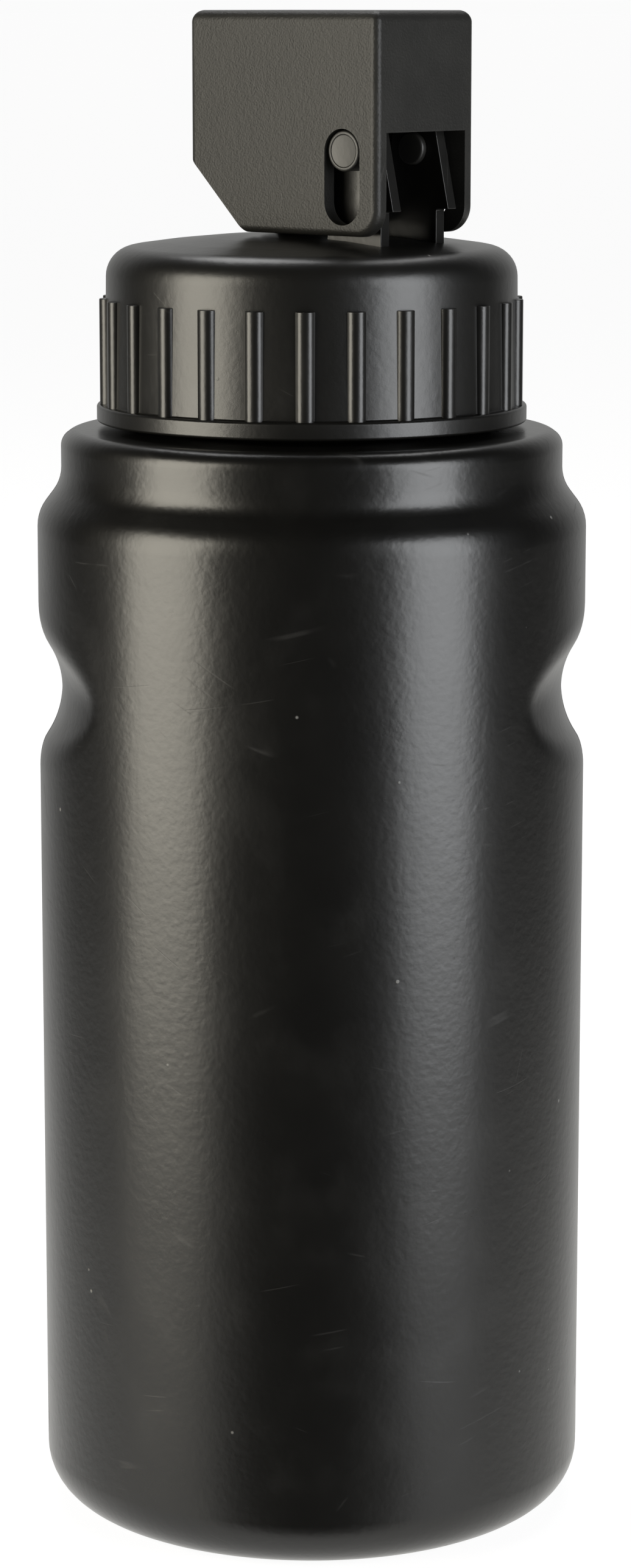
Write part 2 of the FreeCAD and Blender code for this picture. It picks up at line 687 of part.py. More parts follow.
def make_hood():
    """The hood: a box open below, with a window in front, a cut corner behind and a slot in each side."""
    body = new_body("hood")
    sketch = new_sketch(body, "hood_side", "YZ_Plane")
    outline(sketch, [
        (-size.hood_front, hood_low, size.hood_toe),
        (-size.hood_front, hood_top),
        (size.hood_back, hood_top),
        (size.hood_back, hood_low + size.hood_cut),
        (size.hood_back - size.hood_cut, hood_low),
    ])
    padded(body, "Pad", "hood_block", sketch, hood_side * 2, both_ways=True)

    def upright_corner(found):
        box = found.BoundBox
        return box.ZLength > number(size.hood_cut) and box.XLength < TOLERANCE and box.YLength < TOLERANCE

    def top_edge(found):
        return found.BoundBox.ZMin > number(hood_top) - TOLERANCE

    rounded(body, "hood_corners", size.hood_corner, upright_corner)
    rounded(body, "hood_top_round", size.hood_round, top_edge)

    front = size.hood_front - size.hood_wall
    back = size.hood_back - size.hood_wall
    sketch = new_sketch(body, "hood_room_plan", "XY_Plane", lift=hood_low)
    corner = size.room_corner
    outline(sketch, [
        (-hood_inner, -front, corner), (hood_inner, -front, corner),
        (hood_inner, back, corner), (-hood_inner, back, corner),
    ])
    padded(body, "Pocket", "hood_room", sketch, hood_ceiling - hood_low, backwards=True)

    sketch = new_sketch(body, "window_face", "XZ_Plane", lift=front - size.hood_corner)
    outline(sketch, [
        (-hood_inner, hood_low - size.hood_wall), (hood_inner, hood_low - size.hood_wall),
        (hood_inner, pivot_height + size.window_rise), (-hood_inner, pivot_height + size.window_rise),
    ])
    padded(body, "Pocket", "window", sketch, through_front, backwards=True)

    sketch = new_sketch(body, "slot_side", "YZ_Plane")
    radius = size.stud_radius + size.slot_play
    near = -pivot_forward - radius
    far = -pivot_forward + radius
    round_end = radius * ROUND_SHARE
    outline(sketch, [
        (near, slot_low, round_end), (far, slot_low, round_end),
        (far, slot_high, round_end), (near, slot_high, round_end),
    ])
    padded(body, "Pocket", "slots", sketch, through_hood, both_ways=True)
    return body


def make_stud(label, turn):
    """A stud: its thick end fills the hood's slot, its shaft turns in the ear, its head holds it in."""
    body = new_body(label)
    sketch = new_sketch(body, f"{label}_section", "XY_Plane")
    inner_face = ear_inner - size.stud_gap
    outer_face = ear_outer + size.stud_gap
    end = hood_side - size.stud_sunk
    outline(sketch, [
        (inner_face - size.clinch_thick, 0),
        (inner_face - size.clinch_thick, size.stud_clinch, size.clinch_round),
        (inner_face, size.stud_clinch),
        (inner_face, size.stud_shaft),
        (outer_face, size.stud_shaft),
        (outer_face, size.stud_radius),
        (end, size.stud_radius, size.stud_round),
        (end, 0),
    ])
    turned(body, "Revolution", f"{label}_turned", sketch, "H_Axis")
    body.Placement = FreeCAD.Placement(
        FreeCAD.Vector(), FreeCAD.Rotation(FreeCAD.Vector(0, 0, 1), turn))
    bind(body, "Placement.Base.y", -pivot_forward)
    bind(body, "Placement.Base.z", pivot_height)
    document.recompute()
    return body


# ---- the whole bottle --------------------------------------------------------------------------------

def check(pieces):
    """Stop if any object failed, or if a piece isn't one valid solid."""
    failed = [item.Name for item in document.Objects
              if "Invalid" in item.State or "Error" in item.State]
    if failed:
        raise RuntimeError(f"failed objects: {failed}")
    for piece in pieces:
        if piece.Shape.isNull() or not piece.Shape.isValid() or len(piece.Shape.Solids) != 1:
            raise RuntimeError(f"{piece.Label} isn't one valid solid")


def main():
    write_sheet()
    pieces = [
        make_bottle(),
        make_cap(),
        make_gasket(),
        make_spout(),
        make_mouthpiece(),
        make_hood(),
        make_stud("hinge_stud_left", 180),
        make_stud("hinge_stud_right", 0),
    ]
    document.recompute()
    check(pieces)
    os.makedirs("parts", exist_ok=True)
    for piece in pieces:
        piece.Shape.exportStep(f"parts/{piece.Label}.step")
        print(piece.Label, round(piece.Shape.Volume, 1), piece.Shape.BoundBox)


main()
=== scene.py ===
import json
import logging
import math
from collections.abc import Callable, Iterable, Sequence
from dataclasses import dataclass, field
from enum import Enum

import bmesh
import bpy
import numpy as np
from mathutils import Matrix, Vector

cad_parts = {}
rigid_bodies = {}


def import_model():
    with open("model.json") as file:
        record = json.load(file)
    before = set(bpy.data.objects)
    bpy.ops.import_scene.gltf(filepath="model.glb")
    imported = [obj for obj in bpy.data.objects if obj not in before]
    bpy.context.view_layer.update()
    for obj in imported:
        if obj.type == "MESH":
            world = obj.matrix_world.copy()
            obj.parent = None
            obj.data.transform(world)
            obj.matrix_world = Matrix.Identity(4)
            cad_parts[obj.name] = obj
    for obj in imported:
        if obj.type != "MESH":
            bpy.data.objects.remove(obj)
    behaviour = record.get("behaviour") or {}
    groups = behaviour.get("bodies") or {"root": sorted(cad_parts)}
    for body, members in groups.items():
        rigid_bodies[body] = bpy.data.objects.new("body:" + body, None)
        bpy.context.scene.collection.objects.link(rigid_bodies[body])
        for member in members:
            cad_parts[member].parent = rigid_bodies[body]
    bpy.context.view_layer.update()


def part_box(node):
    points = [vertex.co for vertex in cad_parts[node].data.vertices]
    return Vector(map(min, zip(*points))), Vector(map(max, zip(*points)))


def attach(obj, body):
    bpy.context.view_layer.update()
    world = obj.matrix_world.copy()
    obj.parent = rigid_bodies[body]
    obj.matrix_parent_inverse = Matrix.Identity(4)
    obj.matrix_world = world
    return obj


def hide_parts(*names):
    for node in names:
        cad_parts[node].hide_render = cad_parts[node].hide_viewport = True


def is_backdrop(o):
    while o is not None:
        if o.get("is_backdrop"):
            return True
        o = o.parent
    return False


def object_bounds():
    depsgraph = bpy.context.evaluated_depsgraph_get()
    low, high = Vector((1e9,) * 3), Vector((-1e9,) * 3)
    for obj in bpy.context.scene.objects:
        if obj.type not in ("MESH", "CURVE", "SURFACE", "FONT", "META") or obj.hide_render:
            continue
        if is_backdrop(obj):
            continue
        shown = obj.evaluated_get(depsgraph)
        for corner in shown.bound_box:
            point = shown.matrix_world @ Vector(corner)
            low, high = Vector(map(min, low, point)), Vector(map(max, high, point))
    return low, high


# Looks of a sports squeeze bottle: a black blown bottle, a ribbed screw cap with a push-pull spout,
# and a folding hood on two studs. Metres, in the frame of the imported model.

LOG = logging.getLogger("squeeze_bottle")
MM = 0.001
NEAR_AXIS = 1e-7  # a turned point nearer the axis than this is a pole
NEAR_FLAT = 1e-6  # least squared sine of the angle between two walls
HALVINGS = 26  # steps of the search for a carved radius
SAME_POINT = 0.001 * MM  # corners nearer than this are one


class Side(Enum):
    """Side of the bottle, as the sign of X."""

    LEFT = -1
    RIGHT = 1


class Axis(Enum):
    """Axis that a piece is made about or along."""

    UPRIGHT = "Z"
    ACROSS = "X"


# ---- meshes ----

@dataclass(frozen=True)
class Corner:
    """A corner of an outline: its place, and the radius of its round."""

    across: float
    up: float
    round: float = 0.0


Line = list[tuple[float, float]]


def round_off(before: Vector, corner: Vector, after: Vector, radius: float, steps: int) -> Line:
    """Replaces a corner by an arc that is tangent to both sides.

    Args:
        before: The corner before this one.
        corner: The corner itself.
        after: The corner after this one.
        radius: The arc's radius.
        steps: Steps in a quarter turn of arc.

    Returns:
        The arc's points, from the first side to the second.
    """
    back = (before - corner).normalized()
    ahead = (after - corner).normalized()
    half = math.acos(max(-1.0, min(1.0, back.dot(ahead)))) / 2
    turn = math.pi - 2 * half
    start = corner + back * (radius / math.tan(half))
    middle = corner + (back + ahead).normalized() * (radius / math.sin(half))
    count = max(2, math.ceil(steps * turn / (math.pi / 2)))
    sense = 1 if back.x * ahead.y - back.y * ahead.x < 0 else -1
    spoke = start - middle
    points = []
    for index in range(count + 1):
        angle = sense * turn * index / count
        cosine, sine = math.cos(angle), math.sin(angle)
        points.append((middle.x + spoke.x * cosine - spoke.y * sine,
                       middle.y + spoke.x * sine + spoke.y * cosine))
    return points


def trace(corners: Sequence[Corner], closed: bool = True, steps: int = 8, stride: float = 0.0) -> Line:
    """Follows an outline of straight sides and rounds.

    Args:
        corners: The outline's corners in order.
        closed: Whether the last corner joins the first.
        steps: Steps in a quarter turn of a round.
        stride: Longest straight step, or 0 to leave the sides whole.

    Returns:
        The outline's points in order.
    """
    places = [Vector((corner.across, corner.up)) for corner in corners]
    points: Line = []
    last = len(corners) - 1
    for index, corner in enumerate(corners):
        if corner.round <= 0 or (not closed and index in (0, last)):
            points.append((corner.across, corner.up))
            continue
        after = places[(index + 1) % len(places)]
        points += round_off(places[index - 1], places[index], after, corner.round, steps)
    if stride <= 0:
        return points
    dense: Line = []
    ends = points[1:] + (points[:1] if closed else [])
    for (x, y), (next_x, next_y) in zip(points, ends):
        pieces = max(1, math.ceil(math.hypot(next_x - x, next_y - y) / stride))
        dense += [(x + (next_x - x) * part / pieces, y + (next_y - y) * part / pieces)
                  for part in range(pieces)]
    return dense if closed else dense + points[-1:]


def put_in_scene(name: str, data: bpy.types.ID) -> bpy.types.Object:
    """Makes an object and links it to the scene.

    Args:
        name: The object's name.
        data: Its mesh, light or camera.

    Returns:
        The object, at the origin.
    """
    thing = bpy.data.objects.new(name, data)
    bpy.context.scene.collection.objects.link(thing)
    return thing


def new_piece(name: str, mesh: bpy.types.Mesh) -> bpy.types.Object:
    """Puts a mesh in the scene, smooth and with its faces pointing outwards.

    Args:
        name: The piece's name.
        mesh: Its mesh, in place.

    Returns:
        The new object, at the origin.
    """
    work = bmesh.new()
    work.from_mesh(mesh)
    bmesh.ops.recalc_face_normals(work, faces=work.faces)
    work.to_mesh(mesh)
    work.free()
    mesh.shade_smooth()
    return put_in_scene(name, mesh)


def even_angles(count: int) -> np.ndarray:
    """Angles evenly round a circle."""
    return np.linspace(0, 2 * math.pi, count, endpoint=False)


def half_turns(angles: np.ndarray) -> np.ndarray:
    """The same angles, from minus half a turn to half a turn."""
    return (angles + math.pi) % (2 * math.pi) - math.pi


def lathe(name: str, line: Line, angles: np.ndarray, closed: bool = True, axis: Axis = Axis.UPRIGHT,
          shape: Callable[[np.ndarray, np.ndarray, int], np.ndarray] | None = None) -> bpy.types.Object:
    """Turns a line round an axis.

    Args:
        name: The piece's name.
        line: Radius and height of each point.
        angles: The angles of the columns.
        closed: Whether the last point joins the first.
        axis: The axis to turn about; heights run along it.
        shape: Gives the radii of a row from its radius at each angle, the angles and the row's number.

    Returns:
        The turned piece.
    """
    rows: list[list[int]] = []
    places: list[tuple[float, float, float]] = []
    for number, (radius, height) in enumerate(line):
        first = len(places)
        if radius < NEAR_AXIS:
            places.append((0.0, 0.0, height))
            rows.append([first])
            continue
        radii = np.full(len(angles), radius)
        if shape:
            radii = shape(radii, angles, number)
        across, along = radii * np.cos(angles), radii * np.sin(angles)
        places += [(float(x), float(y), height) for x, y in zip(across, along)]
        rows.append(list(range(first, first + len(angles))))
    faces = []
    for low, high in zip(rows, rows[1:] + (rows[:1] if closed else [])):
        for column in range(len(angles)):
            beside = (column + 1) % len(angles)
            ring = [low[column % len(low)], low[beside % len(low)],
                    high[beside % len(high)], high[column % len(high)]]
            faces.append(list(dict.fromkeys(ring)))
    faces = [face for face in faces if len(face) > 2]
    mesh = bpy.data.meshes.new(name)
    mesh.from_pydata(places, [], faces)
    if axis is Axis.ACROSS:
        mesh.transform(Matrix(((0, 0, 1, 0), (1, 0, 0, 0), (0, 1, 0, 0), (0, 0, 0, 1))))
    return new_piece(name, mesh)


def prism(name: str, line: Line, low: float, high: float, axis: Axis = Axis.ACROSS) -> bpy.types.Object:
    """A block with the same outline all along an axis.

    Args:
        name: The piece's name.
        line: The outline's points: Y and Z, or X and Y for an upright block.
        low: Where one end lies along the axis.
        high: Where the other end lies.
        axis: The axis.

    Returns:
        The block.
    """
    count = len(line)
    places = [(end, *point) if axis is Axis.ACROSS else (*point, end)
              for end in (low, high) for point in line]
    faces = [list(range(count)), list(range(count, 2 * count))]
    faces += [[index, (index + 1) % count, count + (index + 1) % count, count + index]
              for index in range(count)]
    mesh = bpy.data.meshes.new(name)
    mesh.from_pydata(places, [], faces)
    return new_piece(name, mesh)


def settle(piece: bpy.types.Object) -> bpy.types.Object:
    """Turns a piece and its modifiers into a plain mesh.

    Args:
        piece: The piece.

    Returns:
        The same piece, with no modifiers.
    """
    graph = bpy.context.evaluated_depsgraph_get()
    made = bpy.data.meshes.new_from_object(piece.evaluated_get(graph), depsgraph=graph)
    old = piece.data
    piece.modifiers.clear()
    piece.data = made
    bpy.data.meshes.remove(old)
    made.name = piece.name
    return piece


def cut_away(piece: bpy.types.Object, cutter: bpy.types.Object) -> None:
    """Cuts one piece's shape out of another and removes the cutter.

    Args:
        piece: The piece to cut.
        cutter: The shape to take out.
    """
    cut = piece.modifiers.new("cut", "BOOLEAN")
    cut.operation = "DIFFERENCE"
    cut.solver = "EXACT"
    cut.object = cutter
    settle(piece)
    bpy.data.objects.remove(cutter)


def soften(piece: bpy.types.Object, width: float, segments: int = 3, angle: float = 32.0) -> bpy.types.Object:
    """Rounds a piece's sharp edges and evens its shading.

    Args:
        piece: The piece.
        width: Width of the round.
        segments: Steps across the round.
        angle: Edges sharper than this many degrees are rounded.

    Returns:
        The same piece, as a plain mesh.
    """
    bevel = piece.modifiers.new("soft_edges", "BEVEL")
    bevel.width = width
    bevel.segments = segments
    bevel.limit_method = "ANGLE"
    bevel.angle_limit = math.radians(angle)
    bevel.miter_outer = "MITER_ARC"
    even = piece.modifiers.new("even_shading", "WEIGHTED_NORMAL")
    even.keep_sharp = True
    settle(piece)
    piece.data.shade_smooth()
    return piece


def even_out(piece: bpy.types.Object) -> bpy.types.Object:
    """Lets a piece's large faces set the shading at its rounds."""
    piece.modifiers.new("even_shading", "WEIGHTED_NORMAL")
    return settle(piece)


def merged_copy(name: str, node: str, flat: float = 1.0) -> bpy.types.Object:
    """Copies a node's mesh, joins its loose triangles and clears lines from its flat faces.

    Args:
        name: The copy's name.
        node: The node's name.
        flat: Faces that turn less than this many degrees become one.

    Returns:
        The copy.
    """
    work = bmesh.new()
    work.from_mesh(bpy.data.objects[node].data)
    bmesh.ops.remove_doubles(work, verts=work.verts, dist=SAME_POINT)
    bmesh.ops.dissolve_limit(work, angle_limit=math.radians(flat), verts=work.verts, edges=work.edges)
    mesh = bpy.data.meshes.new(name)
    work.to_mesh(mesh)
    work.free()
    for layer in [item.name for item in mesh.attributes if item.name == "custom_normal"]:
        mesh.attributes.remove(mesh.attributes[layer])
    return new_piece(name, mesh)


# ---- geometry nodes ----

class NodeTree:
    """A node tree under construction."""

    def __init__(self, tree: bpy.types.NodeTree) -> None:
        """Takes the tree that the nodes go in."""
        self.tree = tree

    def feed(self, socket: bpy.types.NodeSocket, value: object) -> None:
        """Links a socket to an input, or sets the input to a value.

        Args:
            socket: The input.
            value: A socket or a value.
        """
        if isinstance(value, bpy.types.NodeSocket):
            self.tree.links.new(value, socket)
        else:
            socket.default_value = value

    def add(self, kind: str, inputs: dict[object, object] | None = None,
            **settings: object) -> bpy.types.Node:
        """Adds a node.

        Args:
            kind: The node's type.
            inputs: A value or a socket for each input, by its name or number.
            settings: The node's properties.

        Returns:
            The node.
        """
        node = self.tree.nodes.new(kind)
        for label, value in settings.items():
            setattr(node, label, value)
        for label, value in (inputs or {}).items():
            self.feed(node.inputs[label], value)
        return node

    def maths(self, operation: str, *values: object, clamp: bool = False) -> bpy.types.NodeSocket:
        """Adds a Math node over sockets and numbers and returns its result."""
        node = self.add("ShaderNodeMath", dict(enumerate(values)), operation=operation, use_clamp=clamp)
        return node.outputs[0]

    def ramp(self, value: bpy.types.NodeSocket, low: object, high: object,
             least: float = 0.0) -> bpy.types.NodeSocket:
        """Adds a smooth step.

        Args:
            value: What is stepped.
            low: Where the result is least.
            high: Where the result is 1.
            least: The least result.

        Returns:
            The result.
        """
        node = self.add("ShaderNodeMapRange", {"Value": value, "From Min": low, "From Max": high,
                                               "To Min": least}, interpolation_type="SMOOTHSTEP")
        return node.outputs["Result"]


class GrowthTree(NodeTree):
    """A geometry node tree with named inputs."""

    def __init__(self, name: str, inputs: dict[str, str]) -> None:
        """Starts the tree.

        Args:
            name: The tree's name.
            inputs: Socket type of each named input, after the geometry and before the material.
        """
        super().__init__(bpy.data.node_groups.new(name, "GeometryNodeTree"))
        face = self.tree.interface
        sockets = {"Geometry": "NodeSocketGeometry", **inputs, "Material": "NodeSocketMaterial"}
        for label, kind in sockets.items():
            face.new_socket(label, in_out="INPUT", socket_type=kind)
        face.new_socket("Geometry", in_out="OUTPUT", socket_type="NodeSocketGeometry")
        self.given = self.add("NodeGroupInput").outputs

    def end(self, geometry: bpy.types.NodeSocket) -> bpy.types.NodeTree:
        """Realizes instances, sets the material and closes the tree.

        Args:
            geometry: The socket that holds the result.

        Returns:
            The finished tree.
        """
        real = self.add("GeometryNodeRealizeInstances", {0: geometry})
        painted = self.add("GeometryNodeSetMaterial", {
            "Geometry": real.outputs[0], "Material": self.given["Material"]})
        self.add("NodeGroupOutput", {0: painted.outputs[0]})
        return self.tree


THREAD_STEPS = 96  # steps in a turn of thread
THREAD_END = 0.12  # share of its height that a thread ridge keeps at its ends


def ring_tree() -> bpy.types.NodeTree:
    """A tree that repeats its geometry evenly round the upright axis.

    Returns:
        The tree, with inputs Count, First Angle and Material.
    """
    tree = GrowthTree("ring_of_copies", {"Count": "NodeSocketInt", "First Angle": "NodeSocketFloat"})
    given = tree.given
    points = tree.add("GeometryNodePoints", {"Count": given["Count"]})
    number = tree.add("GeometryNodeInputIndex")
    step = tree.maths("DIVIDE", 2 * math.pi, given["Count"])
    angle = tree.maths("ADD", tree.maths("MULTIPLY", number.outputs[0], step), given["First Angle"])
    turn = tree.add("ShaderNodeCombineXYZ", {"Z": angle})
    copies = tree.add("GeometryNodeInstanceOnPoints", {
        "Points": points.outputs[0], "Instance": given["Geometry"], "Rotation": turn.outputs[0]})
    return tree.end(copies.outputs[0])


def thread_tree() -> bpy.types.NodeTree:
    """A tree that winds a thread ridge: it carries its section, drawn in the mesh, along a helix.

    Returns:
        The tree, with inputs Radius, Pitch, Turns, Start, Run Out and Material.
    """
    sizes = ("Radius", "Pitch", "Turns", "Start", "Run Out")
    tree = GrowthTree("thread_ridge", dict.fromkeys(sizes, "NodeSocketFloat"))
    given = tree.given
    helix = tree.add("GeometryNodeCurveSpiral", {
        "Reverse": True, "Resolution": THREAD_STEPS, "Rotations": given["Turns"],
        "Start Radius": given["Radius"], "End Radius": given["Radius"],
        "Height": tree.maths("MULTIPLY", given["Pitch"], given["Turns"])})
    upright = tree.add("GeometryNodeSetCurveNormal", {"Curve": helix.outputs[0]}, mode="Z_UP")
    along = tree.add("GeometryNodeSplineParameter").outputs["Factor"]
    from_end = tree.maths("MINIMUM", along, tree.maths("SUBTRACT", 1.0, along))
    rise = tree.ramp(from_end, 0.0, given["Run Out"], THREAD_END)
    section = tree.add("GeometryNodeMeshToCurve", {"Mesh": given["Geometry"]})
    ridge = tree.add("GeometryNodeCurveToMesh", {
        "Curve": upright.outputs[0], "Profile Curve": section.outputs[0], "Scale": rise, "Fill Caps": True})
    lift = tree.add("ShaderNodeCombineXYZ", {"Z": given["Start"]})
    placed = tree.add("GeometryNodeTransform", {
        "Geometry": ridge.outputs[0], "Translation": lift.outputs[0]})
    return tree.end(placed.outputs[0])


def grow(piece: bpy.types.Object, tree: bpy.types.NodeTree, **values: object) -> bpy.types.Object:
    """Runs a geometry node tree on a piece and keeps the result as a plain mesh.

    Args:
        piece: The piece that carries the tree's starting geometry.
        tree: The tree.
        values: The tree's inputs, with _ for each space.

    Returns:
        The same piece.
    """
    modifier = piece.modifiers.new("grown", "NODES")
    modifier.node_group = tree
    sockets = {item.name: item.identifier for item in tree.interface.items_tree
               if item.item_type == "SOCKET" and item.in_out == "INPUT"}
    for label, value in values.items():
        modifier[sockets[label.replace("_", " ")]] = value
    piece.update_tag()
    settle(piece)
    piece.data.shade_smooth()
    return piece


# ---- finishes ----

Colour = tuple[float, float, float]


class ShaderTree(NodeTree):
    """Adds nodes to a material or to a shader group."""

    def noise(self, place: bpy.types.NodeSocket, scale: object, detail: float = 2.0) -> bpy.types.NodeSocket:
        """A noise value at a place."""
        cloud = self.add("ShaderNodeTexNoise", {"Vector": place, "Scale": scale, "Detail": detail})
        return cloud.outputs["Fac"]

    def mix(self, share: bpy.types.NodeSocket, first: object, second: object) -> bpy.types.NodeSocket:
        """Adds a mix of two colours.

        Args:
            share: The share of the second.
            first: A socket or a Colour.
            second: A socket or a Colour.

        Returns:
            The mix.
        """
        node = self.add("ShaderNodeMix", {"Factor": share}, data_type="RGBA")
        colours = [socket for socket in node.inputs if socket.type == "RGBA"]
        for socket, value in zip(colours, (first, second)):
            self.feed(socket, (*value, 1.0) if isinstance(value, tuple) else value)
        return next(socket for socket in node.outputs if socket.type == "RGBA")


def bare_tree(owner: bpy.types.Material | bpy.types.World) -> ShaderTree:
    """Clears the nodes of a material or world.

    Args:
        owner: The material or world.

    Returns:
        Its tree, with no nodes.
    """
    owner.use_nodes = True
    owner.node_tree.nodes.clear()
    return ShaderTree(owner.node_tree)


Sockets = dict[str, bpy.types.NodeSocket]


def effect(name: str, inputs: Iterable[str],
           build: Callable[[ShaderTree, bpy.types.NodeOutputs], Sockets]) -> bpy.types.NodeTree:
    """Makes a shader node group, once.

    Args:
        name: The group's name.
        inputs: Names of its number inputs, after the place.
        build: Adds the nodes and gives the socket of each output.

    Returns:
        The group.
    """
    if name in bpy.data.node_groups:
        return bpy.data.node_groups[name]
    group = bpy.data.node_groups.new(name, "ShaderNodeTree")
    group.interface.new_socket("Place", in_out="INPUT", socket_type="NodeSocketVector")
    for label in inputs:
        group.interface.new_socket(label, in_out="INPUT", socket_type="NodeSocketFloat")
    tree = ShaderTree(group)
    made = build(tree, tree.add("NodeGroupInput").outputs)
    for label in made:
        group.interface.new_socket(label, in_out="OUTPUT", socket_type="NodeSocketFloat")
    tree.add("NodeGroupOutput", made)
    return group


# Ranges are the low and high ends of a smooth step.
DRIFT_SCALE = 0.12  # of the waves' scale
SCRATCH_WAYS = ((0.4, 0.05), (1.35, 0.08), (2.6, 0.04))  # turn in radians, and squeeze along the scratch
SCRATCH_TILT = 0.7
SCRATCH_GATE = (0.62, 0.74)
GATE_SCALE = 0.6  # of the scratches' scale
RUB_SCALE = 0.5
RUB_RANGE = (0.52, 0.72)
EDGE_RANGE = (0.01, 0.12)  # one less the cosine between rounded and true normals
EDGE_BREAKS = (0.35, 0.65)
SPECK_RANGE = (0.05, 0.13)


def grain_nodes(tree: ShaderTree, given: bpy.types.NodeOutputs) -> Sockets:
    """Moulded skin: a fine grain over a longer waviness.

    Args:
        tree: The group's nodes.
        given: The group's inputs.

    Returns:
        The sockets of Height and Drift.
    """
    fine = tree.noise(given["Place"], given["Grain Scale"], detail=3.0)
    peel = tree.noise(given["Place"], given["Wave Scale"], detail=1.0)
    rough = tree.add("ShaderNodeTexVoronoi", {"Vector": given["Place"], "Scale": given["Grain Scale"]},
                     feature="SMOOTH_F1").outputs["Distance"]
    grit = tree.maths("ADD", fine, tree.maths("MULTIPLY", rough, given["Grit"]))
    height = tree.maths("ADD", tree.maths("MULTIPLY", grit, given["Grain Share"]), peel)
    broad = tree.maths("MULTIPLY", given["Wave Scale"], DRIFT_SCALE)
    drift = tree.noise(given["Place"], broad, detail=4.0)
    return {"Height": height, "Drift": drift}


def hairline_nodes(tree: ShaderTree, given: bpy.types.NodeOutputs) -> Sockets:
    """Hairline scratches and rubbed patches from use.

    Args:
        tree: The group's nodes.
        given: The group's inputs.

    Returns:
        The sockets of Lines and Rub.
    """
    total: object = 0.0
    for turn, squeeze in SCRATCH_WAYS:
        turned = tree.add("ShaderNodeMapping", {
            "Vector": given["Place"], "Rotation": (turn, turn * SCRATCH_TILT, turn),
            "Scale": (1.0, 1 / squeeze, 1 / squeeze)}, vector_type="TEXTURE").outputs[0]
        level = tree.noise(turned, given["Scale"], detail=0.0)
        off = tree.maths("ABSOLUTE", tree.maths("SUBTRACT", level, 0.5))
        line = tree.maths("SUBTRACT", 1.0, tree.ramp(off, 0.0, given["Width"]))
        spread = tree.add("ShaderNodeVectorMath", {0: given["Place"], 1: (turn, turn, turn)}).outputs[0]
        patches = tree.noise(spread, tree.maths("MULTIPLY", given["Scale"], GATE_SCALE), detail=1.0)
        gate = tree.ramp(patches, *SCRATCH_GATE)
        total = tree.maths("MAXIMUM", total, tree.maths("MULTIPLY", line, gate))
    patch = tree.noise(given["Place"], tree.maths("MULTIPLY", given["Scale"], RUB_SCALE), detail=5.0)
    return {"Lines": total, "Rub": tree.ramp(patch, *RUB_RANGE)}


def wear_nodes(tree: ShaderTree, given: bpy.types.NodeOutputs) -> Sockets:
    """Edges rubbed smooth and pale.

    Args:
        tree: The group's nodes.
        given: The group's inputs.

    Returns:
        The socket of Mask.
    """
    soft = tree.add("ShaderNodeBevel", {"Radius": given["Width"]}, samples=4).outputs[0]
    flat = tree.add("ShaderNodeNewGeometry").outputs["Normal"]
    turn = tree.add("ShaderNodeVectorMath", {0: soft, 1: flat}, operation="DOT_PRODUCT").outputs["Value"]
    mask = tree.ramp(tree.maths("SUBTRACT", 1.0, turn), *EDGE_RANGE)
    broken = tree.ramp(tree.noise(given["Place"], given["Scale"], detail=3.0), *EDGE_BREAKS)
    return {"Mask": tree.maths("MULTIPLY", mask, tree.maths("MULTIPLY", broken, given["Amount"]))}


def speck_nodes(tree: ShaderTree, given: bpy.types.NodeOutputs) -> Sockets:
    """Lint and dust specks.

    Args:
        tree: The group's nodes.
        given: The group's inputs.

    Returns:
        The socket of Mask.
    """
    cells = tree.add("ShaderNodeTexVoronoi", {"Vector": given["Place"], "Scale": given["Scale"]})
    dot = tree.maths("SUBTRACT", 1.0, tree.ramp(cells.outputs["Distance"], *SPECK_RANGE))
    pick = tree.add("ShaderNodeSeparateColor", {"Color": cells.outputs["Color"]}).outputs[0]
    chosen = tree.maths("GREATER_THAN", pick, tree.maths("SUBTRACT", 1.0, given["Amount"]))
    return {"Mask": tree.maths("MULTIPLY", dot, chosen)}


@dataclass(frozen=True)
class Grain:
    """Texture of a mould's surface."""

    fine: float  # grains in a metre, divided by about two
    wave: float  # waves in a metre, divided by about two
    share: float  # height of the fine grain against the waviness
    grit: float  # how pebbled the fine grain is
    depth: float  # height of the texture in metres


class MouldSkin(Enum):
    """Surfaces that moulds give."""

    BLOWN = Grain(fine=3000.0, wave=950.0, share=0.25, grit=0.3, depth=0.021 * MM)
    SATIN = Grain(fine=4200.0, wave=900.0, share=0.3, grit=0.4, depth=0.020 * MM)
    SPARKED = Grain(fine=3800.0, wave=1200.0, share=1.2, grit=1.0, depth=0.022 * MM)
    RUBBER = Grain(fine=5200.0, wave=500.0, share=0.8, grit=0.6, depth=0.030 * MM)


SCRATCH_SCALE = 220.0
SCRATCH_WIDTH = 0.014  # half a scratch's width, in noise
SCRATCH_ROUGH = 0.2
SCRATCH_DEPTH = 0.5  # of the skin's depth
EDGE_SCALE = 400.0
EDGE_WIDTH = 0.35 * MM
DUST_SCALE = 420.0
DUST_COLOUR = (0.10, 0.098, 0.092)
DUST_ROUGH = 0.3
DRIFT_RANGE = (0.35, 0.7)
DRIFT_LIGHTER = 1.3
DRIFT_ROUGH = 0.04
RUB_SHARE = 0.08
RUB_ROUGH = 0.02


